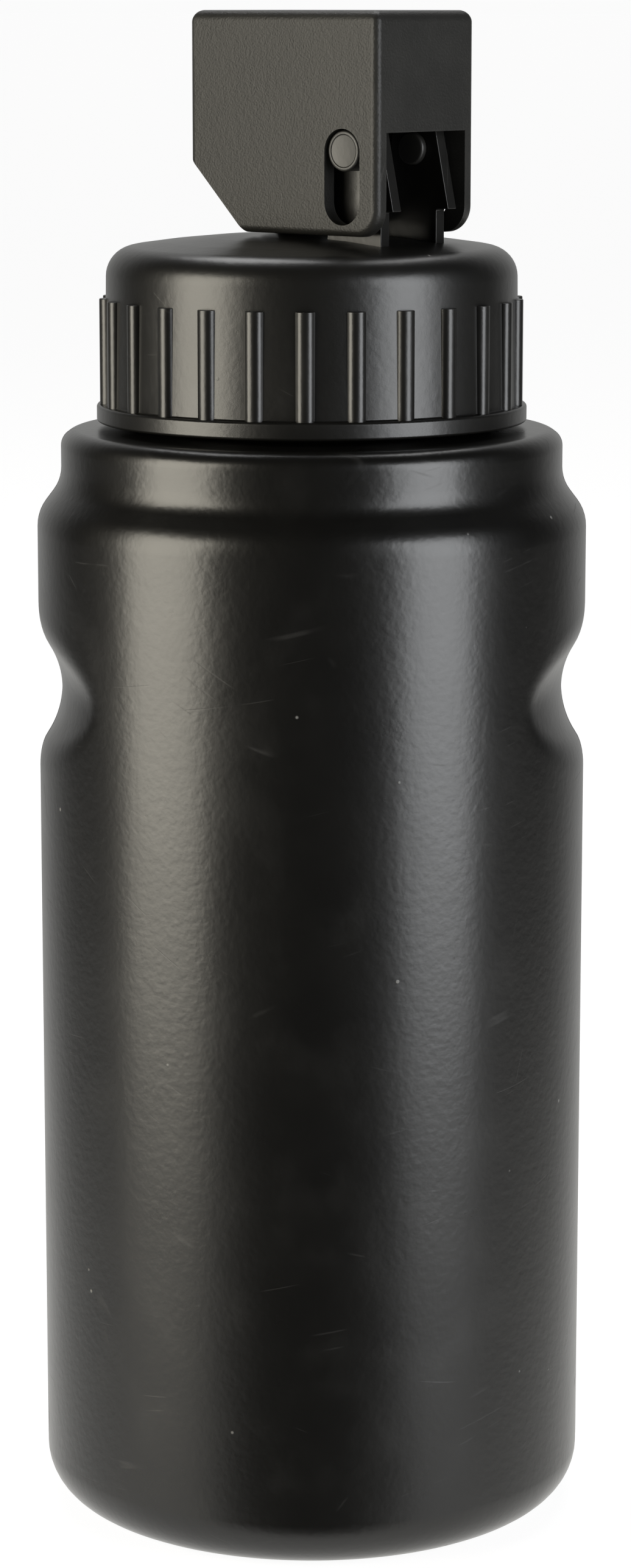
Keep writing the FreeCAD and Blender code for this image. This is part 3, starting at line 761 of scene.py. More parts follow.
@dataclass(frozen=True)
class Finish:
    """A moulded plastic or rubber: colour, gloss, grain and wear."""

    slot: str
    colour: Colour
    worn: Colour
    roughness: float
    skin: MouldSkin
    scratches: float
    wear: float
    dust: float
    specular: float = 0.5
    sheen: float = 0.0

    def parts(self, tree: ShaderTree) -> Sockets:
        """Places the shared effects.

        Args:
            tree: The material's nodes.

        Returns:
            The effects' outputs by name.
        """
        place = tree.add("ShaderNodeTexCoord").outputs["Object"]
        grain = self.skin.value
        found = {}
        for name, build, values in (
            ("moulded_grain", grain_nodes, {"Grain Scale": grain.fine, "Wave Scale": grain.wave,
                                            "Grain Share": grain.share, "Grit": grain.grit}),
            ("hairlines", hairline_nodes, {"Scale": SCRATCH_SCALE, "Width": SCRATCH_WIDTH}),
            ("edge_wear", wear_nodes, {"Scale": EDGE_SCALE, "Amount": self.wear, "Width": EDGE_WIDTH}),
            ("dust_specks", speck_nodes, {"Scale": DUST_SCALE, "Amount": self.dust}),
        ):
            node = tree.add("ShaderNodeGroup", node_tree=effect(name, values, build))
            for label, value in {"Place": place, **values}.items():
                tree.feed(node.inputs[label], value)
            found |= {f"{name}.{socket.name}": socket for socket in node.outputs}
        return found

    def material(self) -> bpy.types.Material:
        """Builds the material, or gives it if it is there.

        Returns:
            The material.
        """
        name = f"{self.slot}_finish"
        if name in bpy.data.materials:
            return bpy.data.materials[name]
        made = bpy.data.materials.new(name)
        tree = bare_tree(made)
        parts = self.parts(tree)
        drift, rub, specks = parts["moulded_grain.Drift"], parts["hairlines.Rub"], parts["dust_specks.Mask"]
        scratch = tree.maths("MULTIPLY", parts["hairlines.Lines"], self.scratches)
        lighter = tuple(part * DRIFT_LIGHTER for part in self.colour)
        colour = tree.mix(tree.ramp(drift, *DRIFT_RANGE), self.colour, lighter)
        colour = tree.mix(tree.maths("MULTIPLY", rub, RUB_SHARE), colour, self.worn)
        colour = tree.mix(tree.maths("MAXIMUM", scratch, parts["edge_wear.Mask"]), colour, self.worn)
        colour = tree.mix(specks, colour, DUST_COLOUR)
        rough = tree.maths("MULTIPLY", tree.maths("SUBTRACT", drift, 0.5), DRIFT_ROUGH)
        rough = tree.maths("ADD", rough, self.roughness)
        for mask, share in ((rub, RUB_ROUGH), (scratch, SCRATCH_ROUGH), (specks, DUST_ROUGH)):
            rough = tree.maths("ADD", rough, tree.maths("MULTIPLY", mask, share), clamp=mask is specks)
        height = parts["moulded_grain.Height"]
        height = tree.maths("SUBTRACT", height, tree.maths("MULTIPLY", scratch, SCRATCH_DEPTH))
        height = tree.maths("ADD", height, specks)
        bump = tree.add("ShaderNodeBump", {"Height": height, "Distance": self.skin.value.depth})
        shader = tree.add("ShaderNodeBsdfPrincipled", {
            "Base Color": colour, "Roughness": rough, "Normal": bump.outputs[0],
            "Specular IOR Level": self.specular, "Sheen Weight": self.sheen})
        tree.add("ShaderNodeOutputMaterial", {"Surface": shader.outputs[0]})
        return made

    def dress(self, piece: bpy.types.Object) -> None:
        """Makes this the piece's one material, named after its slot.

        Args:
            piece: The piece.
        """
        piece.data.materials.clear()
        piece.data.materials.append(self.material())


BLACK_LDPE = Finish("bottle_plastic", (0.0018, 0.0017, 0.0014), (0.012, 0.0115, 0.0105), 0.28,
                    MouldSkin.BLOWN, scratches=0.4, wear=0.3, dust=0.018)
BLACK_PP = Finish("cap_plastic", (0.0026, 0.0025, 0.0021), (0.020, 0.019, 0.017), 0.32,
                  MouldSkin.SATIN, scratches=0.3, wear=0.5, dust=0.01)
HOOD_PP = Finish("hood_plastic", (0.0092, 0.0090, 0.0080), (0.030, 0.029, 0.026), 0.44,
                 MouldSkin.SPARKED, scratches=0.35, wear=0.6, dust=0.01, specular=0.28)
STUD_PP = Finish("stud_plastic", (0.0090, 0.0088, 0.0078), (0.050, 0.048, 0.044), 0.42,
                 MouldSkin.SATIN, scratches=0.2, wear=0.8, dust=0.005)
SPOUT_PP = Finish("spout_plastic", (0.0040, 0.0039, 0.0035), (0.022, 0.021, 0.019), 0.33,
                  MouldSkin.SATIN, scratches=0.3, wear=0.4, dust=0.005)
MOUTH_RUBBER = Finish("mouthpiece_rubber", (0.0070, 0.0069, 0.0066), (0.026, 0.025, 0.024), 0.55,
                      MouldSkin.RUBBER, scratches=0.1, wear=0.2, dust=0.02, sheen=0.12)
GASKET_RUBBER = Finish("gasket_rubber", (0.0050, 0.0049, 0.0047), (0.020, 0.0195, 0.019), 0.6,
                       MouldSkin.RUBBER, scratches=0.1, wear=0.2, dust=0.01, sheen=0.1)


# ---- sub-assemblies ----

@dataclass
class SubAssembly:
    """Pieces that ride on one body."""

    body: str

    def keep(self, piece: bpy.types.Object, finish: Finish, *nodes: str) -> None:
        """Dresses a finished piece and hangs it on the body.

        Args:
            piece: The piece.
            finish: Its finish.
            nodes: The frame's nodes that it stands for.
        """
        finish.dress(piece)
        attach(piece, self.body)
        if nodes:
            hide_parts(*nodes)
        LOG.info("%s: %d faces on %s", piece.name, len(piece.data.polygons), self.body)

    def turn(self, name: str, corners: Sequence[Corner], columns: int, finish: Finish, *nodes: str,
             closed: bool = True, steps: int = 6, stride: float = 0.0) -> None:
        """Turns an outline round the upright axis and keeps the piece.

        Args:
            name: The piece's name.
            corners: The outline's corners, as radius and height.
            columns: Faces in a turn.
            finish: The piece's finish.
            nodes: The frame's nodes that it stands for.
            closed: Whether the last corner joins the first.
            steps: Steps in a quarter turn of a round.
            stride: Longest straight step, or 0 to leave the sides whole.
        """
        line = trace(corners, closed=closed, steps=steps, stride=stride)
        piece = lathe(name, line, even_angles(columns), closed=closed)
        self.keep(even_out(piece), finish, *nodes)


@dataclass(frozen=True)
class FingerScoops:
    """Two finger scoops, opposite each other: a ring-shaped cut about an axis behind the bottle's."""

    height: float
    depth: float = 3.1 * MM
    arc: float = 12.0 * MM
    setting: float = 20.1 * MM
    edge: float = 6.0 * MM
    angle: float = math.radians(-49.0)

    def carve(self, radii: np.ndarray, angles: np.ndarray, height: float, outside: float,
              wall: float) -> np.ndarray:
        """Takes the scoops out of a row of the barrel's wall.

        Args:
            radii: The row's radii.
            angles: The row's angles.
            height: The row's height.
            outside: The barrel's outside radius.
            wall: Depth of the row's surface inside the barrel's outside.

        Returns:
            The carved radii.
        """
        arc, edge = self.arc + wall, self.edge - wall
        if abs(height - self.height) > arc + edge:
            return radii
        ring = outside - self.depth + self.arc + self.setting
        carved = radii.copy()
        for turn in (0.0, math.pi):
            off = angles - self.angle - turn
            low, high = carved - self.arc, carved.copy()
            for _ in range(HALVINGS):
                trial = (low + high) / 2
                far = np.sqrt(trial**2 + self.setting**2 + 2 * trial * self.setting * np.cos(off))
                reach = np.hypot(far - ring, height - self.height)
                shell, cut = trial - radii, arc - reach
                slope = -(far - ring) / reach * (trial + self.setting * np.cos(off)) / far
                past = self.opened(shell + edge, cut + edge, slope) > edge
                high, low = np.where(past, trial, high), np.where(past, low, trial)
            carved = np.where(np.cos(off) > 0, (low + high) / 2, carved)
        return carved

    @staticmethod
    def opened(first: np.ndarray, second: np.ndarray, cosine: np.ndarray) -> np.ndarray:
        """How far points are past the corner where two walls meet.

        Args:
            first: Distance past one wall, drawn in by the edge's round.
            second: Distance past the other wall, drawn in alike.
            cosine: Cosine of the angle between the walls.

        Returns:
            The distances past the corner.
        """
        inside = (first > cosine * second) & (second > cosine * first)
        sine = np.sqrt(np.maximum(1 - cosine**2, NEAR_FLAT))
        span = np.sqrt(np.maximum(first**2 + second**2 - 2 * first * second * cosine, 0.0)) / sine
        return np.where(inside, span, np.maximum(first, second))


@dataclass(frozen=True)
class Thread:
    """A single-start thread ridge."""

    pitch: float = 4.5 * MM
    turns: float = 1.25
    depth: float = 1.5 * MM
    root: float = 2.2 * MM
    crest: float = 1.0 * MM
    crest_round: float = 0.25 * MM
    sunk: float = 0.3 * MM
    run_out: float = 0.05  # share of the ridge's length over which an end fades

    def wind(self, name: str, radius: float, start: float, outwards: bool,
             finish: Finish) -> bpy.types.Object:
        """Winds the ridge on a wall.

        Args:
            name: The piece's name.
            radius: The wall's radius.
            start: Height of the ridge's middle where it starts.
            outwards: Whether the ridge stands outwards.
            finish: The finish of what carries it.

        Returns:
            The ridge.
        """
        sign = 1.0 if outwards else -1.0
        corners = [Corner(-self.sunk, -self.root / 2),
                   Corner(self.depth, -self.crest / 2, self.crest_round),
                   Corner(self.depth, self.crest / 2, self.crest_round),
                   Corner(-self.sunk, self.root / 2)]
        line = trace(corners, steps=3)[::int(sign)]
        mesh = bpy.data.meshes.new(name)
        count = len(line)
        mesh.from_pydata([(sign * across, up, 0.0) for across, up in line],
                         [(index, (index + 1) % count) for index in range(count)], [])
        return grow(put_in_scene(name, mesh), thread_tree(), Radius=radius, Pitch=self.pitch,
                    Turns=self.turns, Start=start, Run_Out=self.run_out, Material=finish.material())


@dataclass
class BottleSkin(SubAssembly):
    """The blown bottle: barrel with scoops, stepped shoulder, and neck with its thread."""

    wall: float = 1.4 * MM
    base_corner: float = 7.0 * MM
    foot_width: float = 2.0 * MM
    base_rise: float = 3.0 * MM
    base_slope: float = 4.0 * MM
    base_soft: float = 1.2 * MM
    shoulder_rise: float = 4.3 * MM
    shoulder_round: float = 6.0 * MM
    shoulder_hollow: float = 5.0 * MM
    rim_step: float = 3.25 * MM
    rim_rise: float = 6.75 * MM
    rim_round: float = 2.4 * MM
    ledge_rise: float = 0.45 * MM
    scoop_drop: float = 23.2 * MM
    neck_radius: float = 23.6 * MM
    neck_wall: float = 1.6 * MM
    neck_height: float = 19.3 * MM
    neck_soft: float = 0.5 * MM
    thread_drop: float = 14.2 * MM  # from the neck's mouth to the thread's start
    seam_rise: float = 0.09 * MM
    seam_width: float = 0.35 * MM
    seam_columns: int = 3  # on each side of a seam
    seam_clear: float = 1.3  # reach of a seam's columns that the even ones stay out of
    seam_fall: float = 2.0  # how fast a seam falls away
    seam_foot: float = 1 / 3  # share of the base corner that has no seam
    weld_length: float = 34 * MM
    weld_half: float = 0.9 * MM
    weld_rise: float = 0.35 * MM
    weld_soft: float = 0.15 * MM
    stride: float = 2.6 * MM
    inside_stride: float = 5 * MM
    scoop_reach: float = 15 * MM  # above and below the scoops' middle, where rows are closer
    scoop_step: float = 0.7 * MM
    inside_scoop_step: float = 2.0 * MM
    columns: int = 240

    def angles(self, scoop_angle: float, radius: float) -> np.ndarray:
        """Angles of the columns, closer together at the two mould seams.

        Args:
            scoop_angle: Angle of a seam.
            radius: The barrel's radius.

        Returns:
            The angles in order.
        """
        beside = np.arange(-self.seam_columns, self.seam_columns + 1) * self.seam_width / 2 / radius
        seams = [scoop_angle + turn + beside for turn in (0.0, math.pi)]
        spread = even_angles(self.columns)
        clear = np.ones(len(spread), bool)
        for seam in seams:
            off = half_turns(spread - seam[self.seam_columns])
            clear &= abs(off) > beside[-1] * self.seam_clear
        return np.sort(np.concatenate([spread[clear], *seams]) % (2 * math.pi))

    def section(self, radius: float, top: float) -> tuple[Line, int]:
        """The wall's section, from the middle of the base outside to the middle of the base inside.

        Args:
            radius: The barrel's outside radius.
            top: Height of the neck's mouth.

        Returns:
            The section's points, and how many of them are outside.
        """
        ledge = top - self.neck_height
        rim_top = ledge - self.ledge_rise
        shoulder_top = rim_top - self.rim_rise
        barrel = shoulder_top - self.shoulder_rise
        rim = radius - self.rim_step
        foot = radius - self.base_corner - self.foot_width
        bore = self.neck_radius - self.neck_wall
        scoop = barrel - self.scoop_drop
        wall = self.wall

        def surface(inset: float) -> list[Corner]:
            """The barrel and shoulder.

            Args:
                inset: How far they are drawn in.

            Returns:
                Their corners.
            """
            return [
                Corner(0, self.base_rise + inset),
                Corner(foot - self.base_slope, self.base_rise + inset, self.base_soft),
                Corner(foot, inset, self.base_soft),
                Corner(radius - inset, inset, self.base_corner - inset),
                Corner(radius - inset, barrel, self.shoulder_round - inset),
                Corner(rim - inset, shoulder_top, self.shoulder_hollow + inset),
            ]

        outside = trace([*surface(0.0), Corner(rim, rim_top, self.rim_round),
                         Corner(self.neck_radius, ledge, self.neck_soft),
                         Corner(self.neck_radius, top, self.neck_soft), Corner(bore, top)],
                        closed=False, steps=12, stride=self.stride)
        inside = trace([*surface(wall), Corner(rim - wall, rim_top - wall, self.rim_round - wall),
                        Corner(bore, ledge - wall, self.neck_soft), Corner(bore, top)],
                       closed=False, steps=5, stride=self.inside_stride)
        outside = self.close_up(outside, scoop, self.scoop_step)
        inside = self.close_up(inside, scoop, self.inside_scoop_step)
        return outside + inside[::-1][1:], len(outside)

    def close_up(self, line: Line, middle: float, step: float) -> Line:
        """Puts more rows where the scoops are.

        Args:
            line: The section's points.
            middle: Height of the scoops.
            step: Height from row to row there.

        Returns:
            The points with the added rows.
        """
        made = [line[0]]
        for (x, y), (next_x, next_y) in zip(line, line[1:]):
            beside = abs((y + next_y) / 2 - middle) < self.scoop_reach
            if next_y > y and abs(next_x - x) < NEAR_AXIS and beside:
                pieces = max(1, round((next_y - y) / step))
                made += [(x, y + (next_y - y) * part / pieces) for part in range(1, pieces)]
            made.append((next_x, next_y))
        return made

    def build(self) -> None:
        """Builds the bottle, its base weld and its thread."""
        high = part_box("bottle_body")[1]
        radius, top = high.x, high.z
        line, outside = self.section(radius, top)
        ledge = top - self.neck_height
        barrel = ledge - self.ledge_rise - self.rim_rise - self.shoulder_rise
        scoops = FingerScoops(barrel - self.scoop_drop)

        def shape(radii: np.ndarray, around: np.ndarray, row: int) -> np.ndarray:
            """Carves the scoops out of a row and raises the seams on it.

            Args:
                radii: The row's radii.
                around: The row's angles.
                row: The row's number.

            Returns:
                The changed radii.
            """
            height = line[row][1]
            out = row < outside
            if self.base_corner < height < barrel:
                radii = scoops.carve(radii, around, height, radius, 0.0 if out else self.wall)
            seamed = self.base_corner * self.seam_foot < height < ledge
            if out and seamed and radii[0] > self.neck_radius + self.wall:
                for turn in (0.0, math.pi):
                    off = half_turns(around - scoops.angle - turn)
                    away = off * radius / self.seam_width * self.seam_fall
                    radii = radii + self.seam_rise * np.exp(-away**2)
            return radii

        skin = lathe("bottle_skin", line, self.angles(scoops.angle, radius), closed=False, shape=shape)
        self.keep(even_out(skin), BLACK_LDPE, "bottle_body")
        self.build_weld(scoops.angle)
        thread = Thread().wind("neck_thread", self.neck_radius, top - self.thread_drop, True, BLACK_LDPE)
        self.keep(thread, BLACK_LDPE)

    def build_weld(self, angle: float) -> None:
        """The pinched weld that a blown bottle has across its base.

        Args:
            angle: The angle of the mould seams, which it runs along.
        """
        half, high, low = self.weld_half, self.base_rise + self.weld_rise, self.base_rise - self.weld_rise
        line = trace([Corner(-half, high), Corner(-half / 2, low, half / 3),
                      Corner(half / 2, low, half / 3), Corner(half, high)])
        weld = prism("base_weld", line, -self.weld_length / 2, self.weld_length / 2)
        weld.data.transform(Matrix.Rotation(angle, 4, "Z"))
        self.keep(soften(weld, self.weld_soft), BLACK_LDPE)


@dataclass
class ScrewCap(SubAssembly):
    """The cap: ribbed skirt and dome with the chimney in one, stopper, and the ears of the hinge."""

    wall: float = 1.5 * MM
    flange_out: float = 1.38 * MM
    flange_height: float = 2.3 * MM
    flange_round: float = 0.4 * MM
    skirt_draft: float = 0.25 * MM
    dome_rise: float = 4.6 * MM
    dome_radius: float = 170 * MM
    dome_steps: tuple[float, ...] = (0.72, 0.5, 0.32)  # shares of the skirt's radius
    cap_round: float = 4.0 * MM
    plate_recess: float = 1.8 * MM
    gasket_inner: float = 21.6 * MM
    thread_rise: float = 2.15 * MM
    rib_count: int = 26
    rib_angle: float = math.radians(-140.7)
    rib_width: float = 2.6 * MM
    rib_out: float = 0.96 * MM
    rib_round: float = 1.2 * MM
    rib_drop: float = 3.9 * MM
    rib_soft: float = 0.12 * MM
    rib_sunk: float = 0.2 * MM
    chimney_radius: float = 4.4 * MM
    chimney_wall: float = 1.4 * MM
    chimney_top: float = 3.9 * MM  # below the stopper's top
    chimney_foot: float = 0.8 * MM
    chimney_lip: float = 0.35 * MM
    soft: float = 0.3 * MM  # the round of a small edge
    plate_round: float = 0.4 * MM
    plate_corner: float = 0.5 * MM
    seat_round: float = 0.2 * MM
    bead_out: float = 0.25 * MM
    bead_height: float = 1.0 * MM
    bead_drop: float = 7.1 * MM  # below the chimney's top
    bead_rounds: tuple[float, ...] = (0.05 * MM, 0.1 * MM, 0.2 * MM)
    stopper_radius: float = 1.6 * MM
    stopper_stem: float = 1.1 * MM
    stopper_head: float = 2.2 * MM
    stopper_taper: float = 0.9 * MM
    spoke_width: float = 1.0 * MM
    spoke_height: float = 1.5 * MM
    spoke_count: int = 3
    spoke_soft: float = 0.08 * MM
    ear_inner: float = 4.7 * MM
    ear_outer: float = 6.4 * MM
    ear_sunk: float = 2.0 * MM
    ear_crown: float = 3.58 * MM  # the crown's radius about the pivot
    ear_crown_back: float = 2.86 * MM
    ear_foot_back: float = -8.0 * MM
    ear_hole: float = 1.58 * MM
    ear_soft: float = 0.18 * MM
    catch_rise: float = 3.45 * MM  # above the dome's apex
    catch_front: float = 0.15 * MM  # behind the hood's front
    catch_depth: float = 2.0 * MM
    catch_lean: float = 2.45 * MM
    catch_round: float = 0.1 * MM
    brow_round: float = 1.2 * MM
    hood_front: float = 19.45 * MM
    pivot_forward: float = 13.62 * MM
    columns: int = 208
    small_columns: int = 48
    stride: float = 3 * MM

    def build(self) -> None:
        """Builds the cap's pieces."""
        self.low, self.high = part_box("screw_cap")
        self.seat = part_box("cap_gasket")[1].z
        self.outer = self.high.x - self.flange_out
        self.bore = self.outer - self.wall
        self.apex = self.seat + self.dome_rise
        self.build_shell()
        self.build_ribs()
        self.build_stopper()
        for side in Side:
            self.build_ear(side)
        start = self.low.z + self.thread_rise
        self.keep(Thread().wind("cap_thread", self.bore, start, False, BLACK_PP), BLACK_PP)

    def dome(self, radius: float) -> float:
        """Height of the dome at a radius."""
        return self.apex - self.dome_radius + math.sqrt(self.dome_radius**2 - radius**2)

    def build_shell(self) -> None:
        """Skirt, flange, dome, gasket seat and chimney, turned as one section."""
        low = self.low.z
        flange_top = low + self.flange_height
        foot, reach = self.outer + self.skirt_draft, self.outer + self.flange_out
        chimney, bore = self.chimney_radius, self.chimney_radius - self.chimney_wall
        top = self.high.z - self.chimney_top
        bead = top - self.bead_drop
        steps = [self.outer * share for share in self.dome_steps]
        root, crest, tail = self.bead_rounds
        corners = [
            Corner(self.bore, low, self.soft),
            Corner(reach, low, self.flange_round),
            Corner(reach, flange_top, self.flange_round),
            Corner(foot, flange_top, self.soft),
            Corner(self.outer, self.dome(self.outer), self.cap_round),
            *[Corner(radius, self.dome(radius), self.outer) for radius in steps],
            Corner(chimney, self.dome(chimney), self.chimney_foot),
            Corner(chimney, bead, root),
            Corner(chimney + self.bead_out, bead, crest),
            Corner(chimney, bead + self.bead_height, tail),
            Corner(chimney, top, self.chimney_lip),
            Corner(bore, top, self.soft),
            Corner(bore, self.seat + self.plate_recess, self.plate_round),
            Corner(self.gasket_inner, self.seat + self.plate_recess, self.plate_corner),
            Corner(self.gasket_inner, self.seat, self.seat_round),
            Corner(self.bore, self.seat, self.plate_round),
        ]
        self.turn("cap_shell", corners, self.columns, BLACK_PP, "screw_cap", steps=10, stride=self.stride)

    def build_ribs(self) -> None:
        """The grip ribs: one rib, repeated round the skirt."""
        low = self.low.z + self.flange_height
        high = self.seat - self.rib_drop
        inner = self.outer - self.wall / 2
        reach = self.outer + self.rib_out
        half = self.rib_width / 2
        line = trace([Corner(inner, -half), Corner(reach, -half, self.rib_round),
                      Corner(reach, half, self.rib_round), Corner(inner, half)], steps=7)
        rib = prism("cap_ribs", line, low - self.rib_sunk, high, Axis.UPRIGHT)
        ribs = soften(rib, self.rib_soft, segments=2, angle=60.0)
        grow(ribs, ring_tree(), Count=self.rib_count, First_Angle=self.rib_angle,
             Material=BLACK_PP.material())
        self.keep(ribs, BLACK_PP)

    def build_stopper(self) -> None:
        """The stopper in the chimney's mouth, and the spokes that hold it."""
        top = self.high.z
        mouth = top - self.chimney_top
        taper_top = top - self.stopper_head
        foot = mouth - self.spoke_height
        self.turn("stopper", [
            Corner(0, foot),
            Corner(self.stopper_stem, foot, self.seat_round),
            Corner(self.stopper_stem, taper_top - self.stopper_taper, self.soft),
            Corner(self.stopper_radius, taper_top, self.soft),
            Corner(self.stopper_radius, top, self.soft),
            Corner(0, top),
        ], self.small_columns, BLACK_PP, closed=False)
        reach = self.chimney_radius - self.chimney_wall + self.bead_out
        half = self.spoke_width / 2
        line = trace([Corner(-half, foot), Corner(half, foot),
                      Corner(half, mouth, self.soft), Corner(-half, mouth, self.soft)], steps=4)
        spoke = prism("stopper_spokes", line, self.stopper_stem / 2, reach)
        spokes = soften(spoke, self.spoke_soft, segments=2)
        grow(spokes, ring_tree(), Count=self.spoke_count, First_Angle=0.0, Material=BLACK_PP.material())
        self.keep(spokes, BLACK_PP)

    def build_ear(self, side: Side) -> None:
        """An ear with the catch for the folded hood and the hole for its stud.

        Args:
            side: Which ear.
        """
        stud_low, stud_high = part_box("hinge_stud_right")
        pivot = (stud_low.z + stud_high.z) / 2
        front = self.catch_front - self.hood_front
        foot, crown, catch = self.apex - self.ear_sunk, pivot + self.ear_crown, self.apex + self.catch_rise
        line = trace([
            Corner(front + self.catch_depth, foot),
            Corner(front + self.catch_depth, catch, self.soft),
            Corner(front, catch, self.catch_round),
            Corner(front + self.catch_lean, crown, self.brow_round),
            Corner(self.ear_crown - self.pivot_forward, crown, self.ear_crown_back),
            Corner(self.ear_foot_back, foot),
        ], steps=8)
        ends = sorted((side.value * self.ear_inner, side.value * self.ear_outer))
        ear = prism(f"ear_{side.name.lower()}", line, *ends)
        long = self.hood_front
        hole = lathe("hole", [(0, -long), (self.ear_hole, -long), (self.ear_hole, long), (0, long)],
                     even_angles(self.small_columns), closed=False, axis=Axis.ACROSS)
        hole.data.transform(Matrix.Translation((0, -self.pivot_forward, pivot)))
        cut_away(ear, hole)
        self.keep(soften(ear, self.ear_soft), BLACK_PP)


@dataclass
class Gasket(SubAssembly):
    """The flat ring between neck and cap, with a groove in its top."""

    inner: float = 21.6 * MM
    round: float = 0.25 * MM
    groove: float = 0.2 * MM
    groove_half: float = 0.6 * MM
    columns: int = 160

    def build(self) -> None:
        """Builds the gasket."""
        low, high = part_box("cap_gasket")
        middle = (self.inner + high.x) / 2
        self.turn("gasket_ring", [
            Corner(self.inner, low.z, self.round),
            Corner(high.x, low.z, self.round),
            Corner(high.x, high.z, self.round),
            Corner(middle + self.groove_half, high.z, self.groove),
            Corner(middle, high.z - self.groove, self.groove),
            Corner(middle - self.groove_half, high.z, self.groove),
            Corner(self.inner, high.z, self.round),
        ], self.columns, GASKET_RUBBER, "cap_gasket", steps=4)


@dataclass
class Spout(SubAssembly):
    """The hard spout that slides on the chimney and the soft mouthpiece over it."""

    bore: float = 4.75 * MM
    wall: float = 0.75 * MM
    lip_radius: float = 4.5 * MM
    lip_height: float = 1.0 * MM
    plate: float = 1.6 * MM
    hole: float = 1.7 * MM
    finger_thick: float = 1.5 * MM
    sleeve_gap: float = 0.05 * MM
    waist_wall: float = 0.75 * MM
    lip_wall: float = 1.2 * MM
    lip_depth: float = 3.4 * MM
    lip_slope: float = 0.85 * MM
    mouth_radius: float = 3.0 * MM
    mouth_lip: float = 1.0 * MM
    fine: float = 0.1 * MM  # the round of a sharp edge
    soft: float = 0.2 * MM
    rim_round: float = 0.37 * MM
    bore_round: float = 0.3 * MM
    foot_round: float = 0.5 * MM
    waist_round: float = 1.7 * MM
    lip_under: float = 0.85 * MM
    mouth_round: float = 0.33 * MM
    columns: int = 96
    stride: float = 1.2 * MM

    def build(self) -> None:
        """Builds the spout and the mouthpiece."""
        low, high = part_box("spout_slider")
        outer = self.bore + self.wall
        roof, finger_top, lip_top = high.z - self.plate, low.z + self.finger_thick, low.z + self.lip_height
        self.turn("spout_tube", [
            Corner(self.lip_radius, low.z, self.fine),
            Corner(high.x, low.z, self.rim_round),
            Corner(high.x, finger_top, self.rim_round),
            Corner(outer, finger_top, self.soft),
            Corner(outer, high.z, self.rim_round),
            Corner(self.hole, high.z, self.soft),
            Corner(self.hole, roof, self.fine),
            Corner(self.bore, roof, self.bore_round),
            Corner(self.bore, lip_top, self.fine),
            Corner(self.lip_radius, lip_top, self.fine),
        ], self.columns, SPOUT_PP, "spout_slider")
        self.build_mouthpiece(outer + self.sleeve_gap)

    def build_mouthpiece(self, inner: float) -> None:
        """The soft sleeve.

        Args:
            inner: Its inside radius.
        """
        low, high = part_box("mouthpiece")
        waist, lip = inner + self.waist_wall, inner + self.lip_wall
        lip_low, mouth = high.z - self.lip_depth, high.z - self.mouth_lip
        self.turn("mouthpiece_sleeve", [
            Corner(inner, low.z, self.fine),
            Corner(lip, low.z, self.foot_round),
            Corner(waist, low.z + self.lip_depth, self.waist_round),
            Corner(waist, lip_low, self.lip_under),
            Corner(lip, lip_low + self.lip_slope, self.lip_under),
            Corner(lip, high.z, self.waist_round),
            Corner(self.mouth_radius, high.z, self.mouth_round),
            Corner(self.mouth_radius, mouth, self.fine),
            Corner(inner, mouth, self.fine),
        ], self.columns, MOUTH_RUBBER, "mouthpiece", steps=8, stride=self.stride)


@dataclass
class Hood(SubAssembly):
    """The hood, its edges as soft as its mould left them."""

    edge: float = 0.16 * MM

    def build(self) -> None:
        """Builds the hood."""
        hood = merged_copy("hood_shell", "hood")
        self.keep(soften(hood, self.edge, segments=2), HOOD_PP, "hood")


@dataclass
class Studs(SubAssembly):
    """The two studs that the hood slides and folds on."""

    inner: float = 3.7 * MM
    head: float = 0.9 * MM
    clinch: float = 2.1 * MM
    shaft: float = 1.5 * MM
    ear: float = 1.9 * MM
    rim: float = 0.45 * MM
    dish: float = 0.12 * MM
    fine: float = 0.1 * MM  # the round of a sharp edge
    round: float = 0.3 * MM
    columns: int = 64

    def build(self) -> None:
        """Builds both studs."""
        for side in Side:
            node = f"hinge_stud_{side.name.lower()}"
            low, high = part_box(node)
            radius = (high.y - low.y) / 2
            end = max(abs(low.x), abs(high.x))
            face = radius - self.rim
            head = self.inner + self.head
            seat = head + self.ear
            line = trace([
                Corner(0, self.inner),
                Corner(self.clinch, self.inner, self.round),
                Corner(self.clinch, head, self.fine),
                Corner(self.shaft, head, self.fine),
                Corner(self.shaft, seat, self.fine),
                Corner(radius, seat, self.fine),
                Corner(radius, end, self.round),
                Corner(face, end, self.dish),
                Corner(face - self.dish, end - self.dish, self.dish),
                Corner(0, end - self.dish),
            ], closed=False, steps=6)
            stud = lathe(f"stud_{side.name.lower()}", line, even_angles(self.columns), closed=False,
                         axis=Axis.ACROSS)
            if side is Side.LEFT:
                stud.data.transform(Matrix.Scale(-1, 4, (1, 0, 0)))
                stud.data.flip_normals()
            stud.data.transform(Matrix.Translation((0, (low.y + high.y) / 2, (low.z + high.z) / 2)))
            self.keep(even_out(stud), STUD_PP, node)


# ---- the studio ----

@dataclass(frozen=True)
class Softbox:
    """A soft light panel, aimed at the bottle."""

    name: str
    bearing: float  # degrees round from the camera, to its right
    distance: float
    height: float
    size: tuple[float, float]
    power: float
    colour: Colour

    def place(self, camera_bearing: float, aim: Vector) -> None:
        """Puts the panel in the scene.

        Args:
            camera_bearing: The camera's bearing in degrees.
            aim: What the panel points at.
        """
        data = bpy.data.lights.new(self.name, "AREA")
        data.shape = "RECTANGLE"
        data.size, data.size_y = self.size
        data.energy = self.power
        data.color = self.colour
        panel = put_in_scene(self.name, data)
        angle = math.radians(camera_bearing + self.bearing)
        place = Vector((math.sin(angle) * self.distance, -math.cos(angle) * self.distance, self.height))
        panel.location = place
        panel.rotation_euler = (aim - place).to_track_quat("-Z", "Y").to_euler()
        panel.visible_camera = False


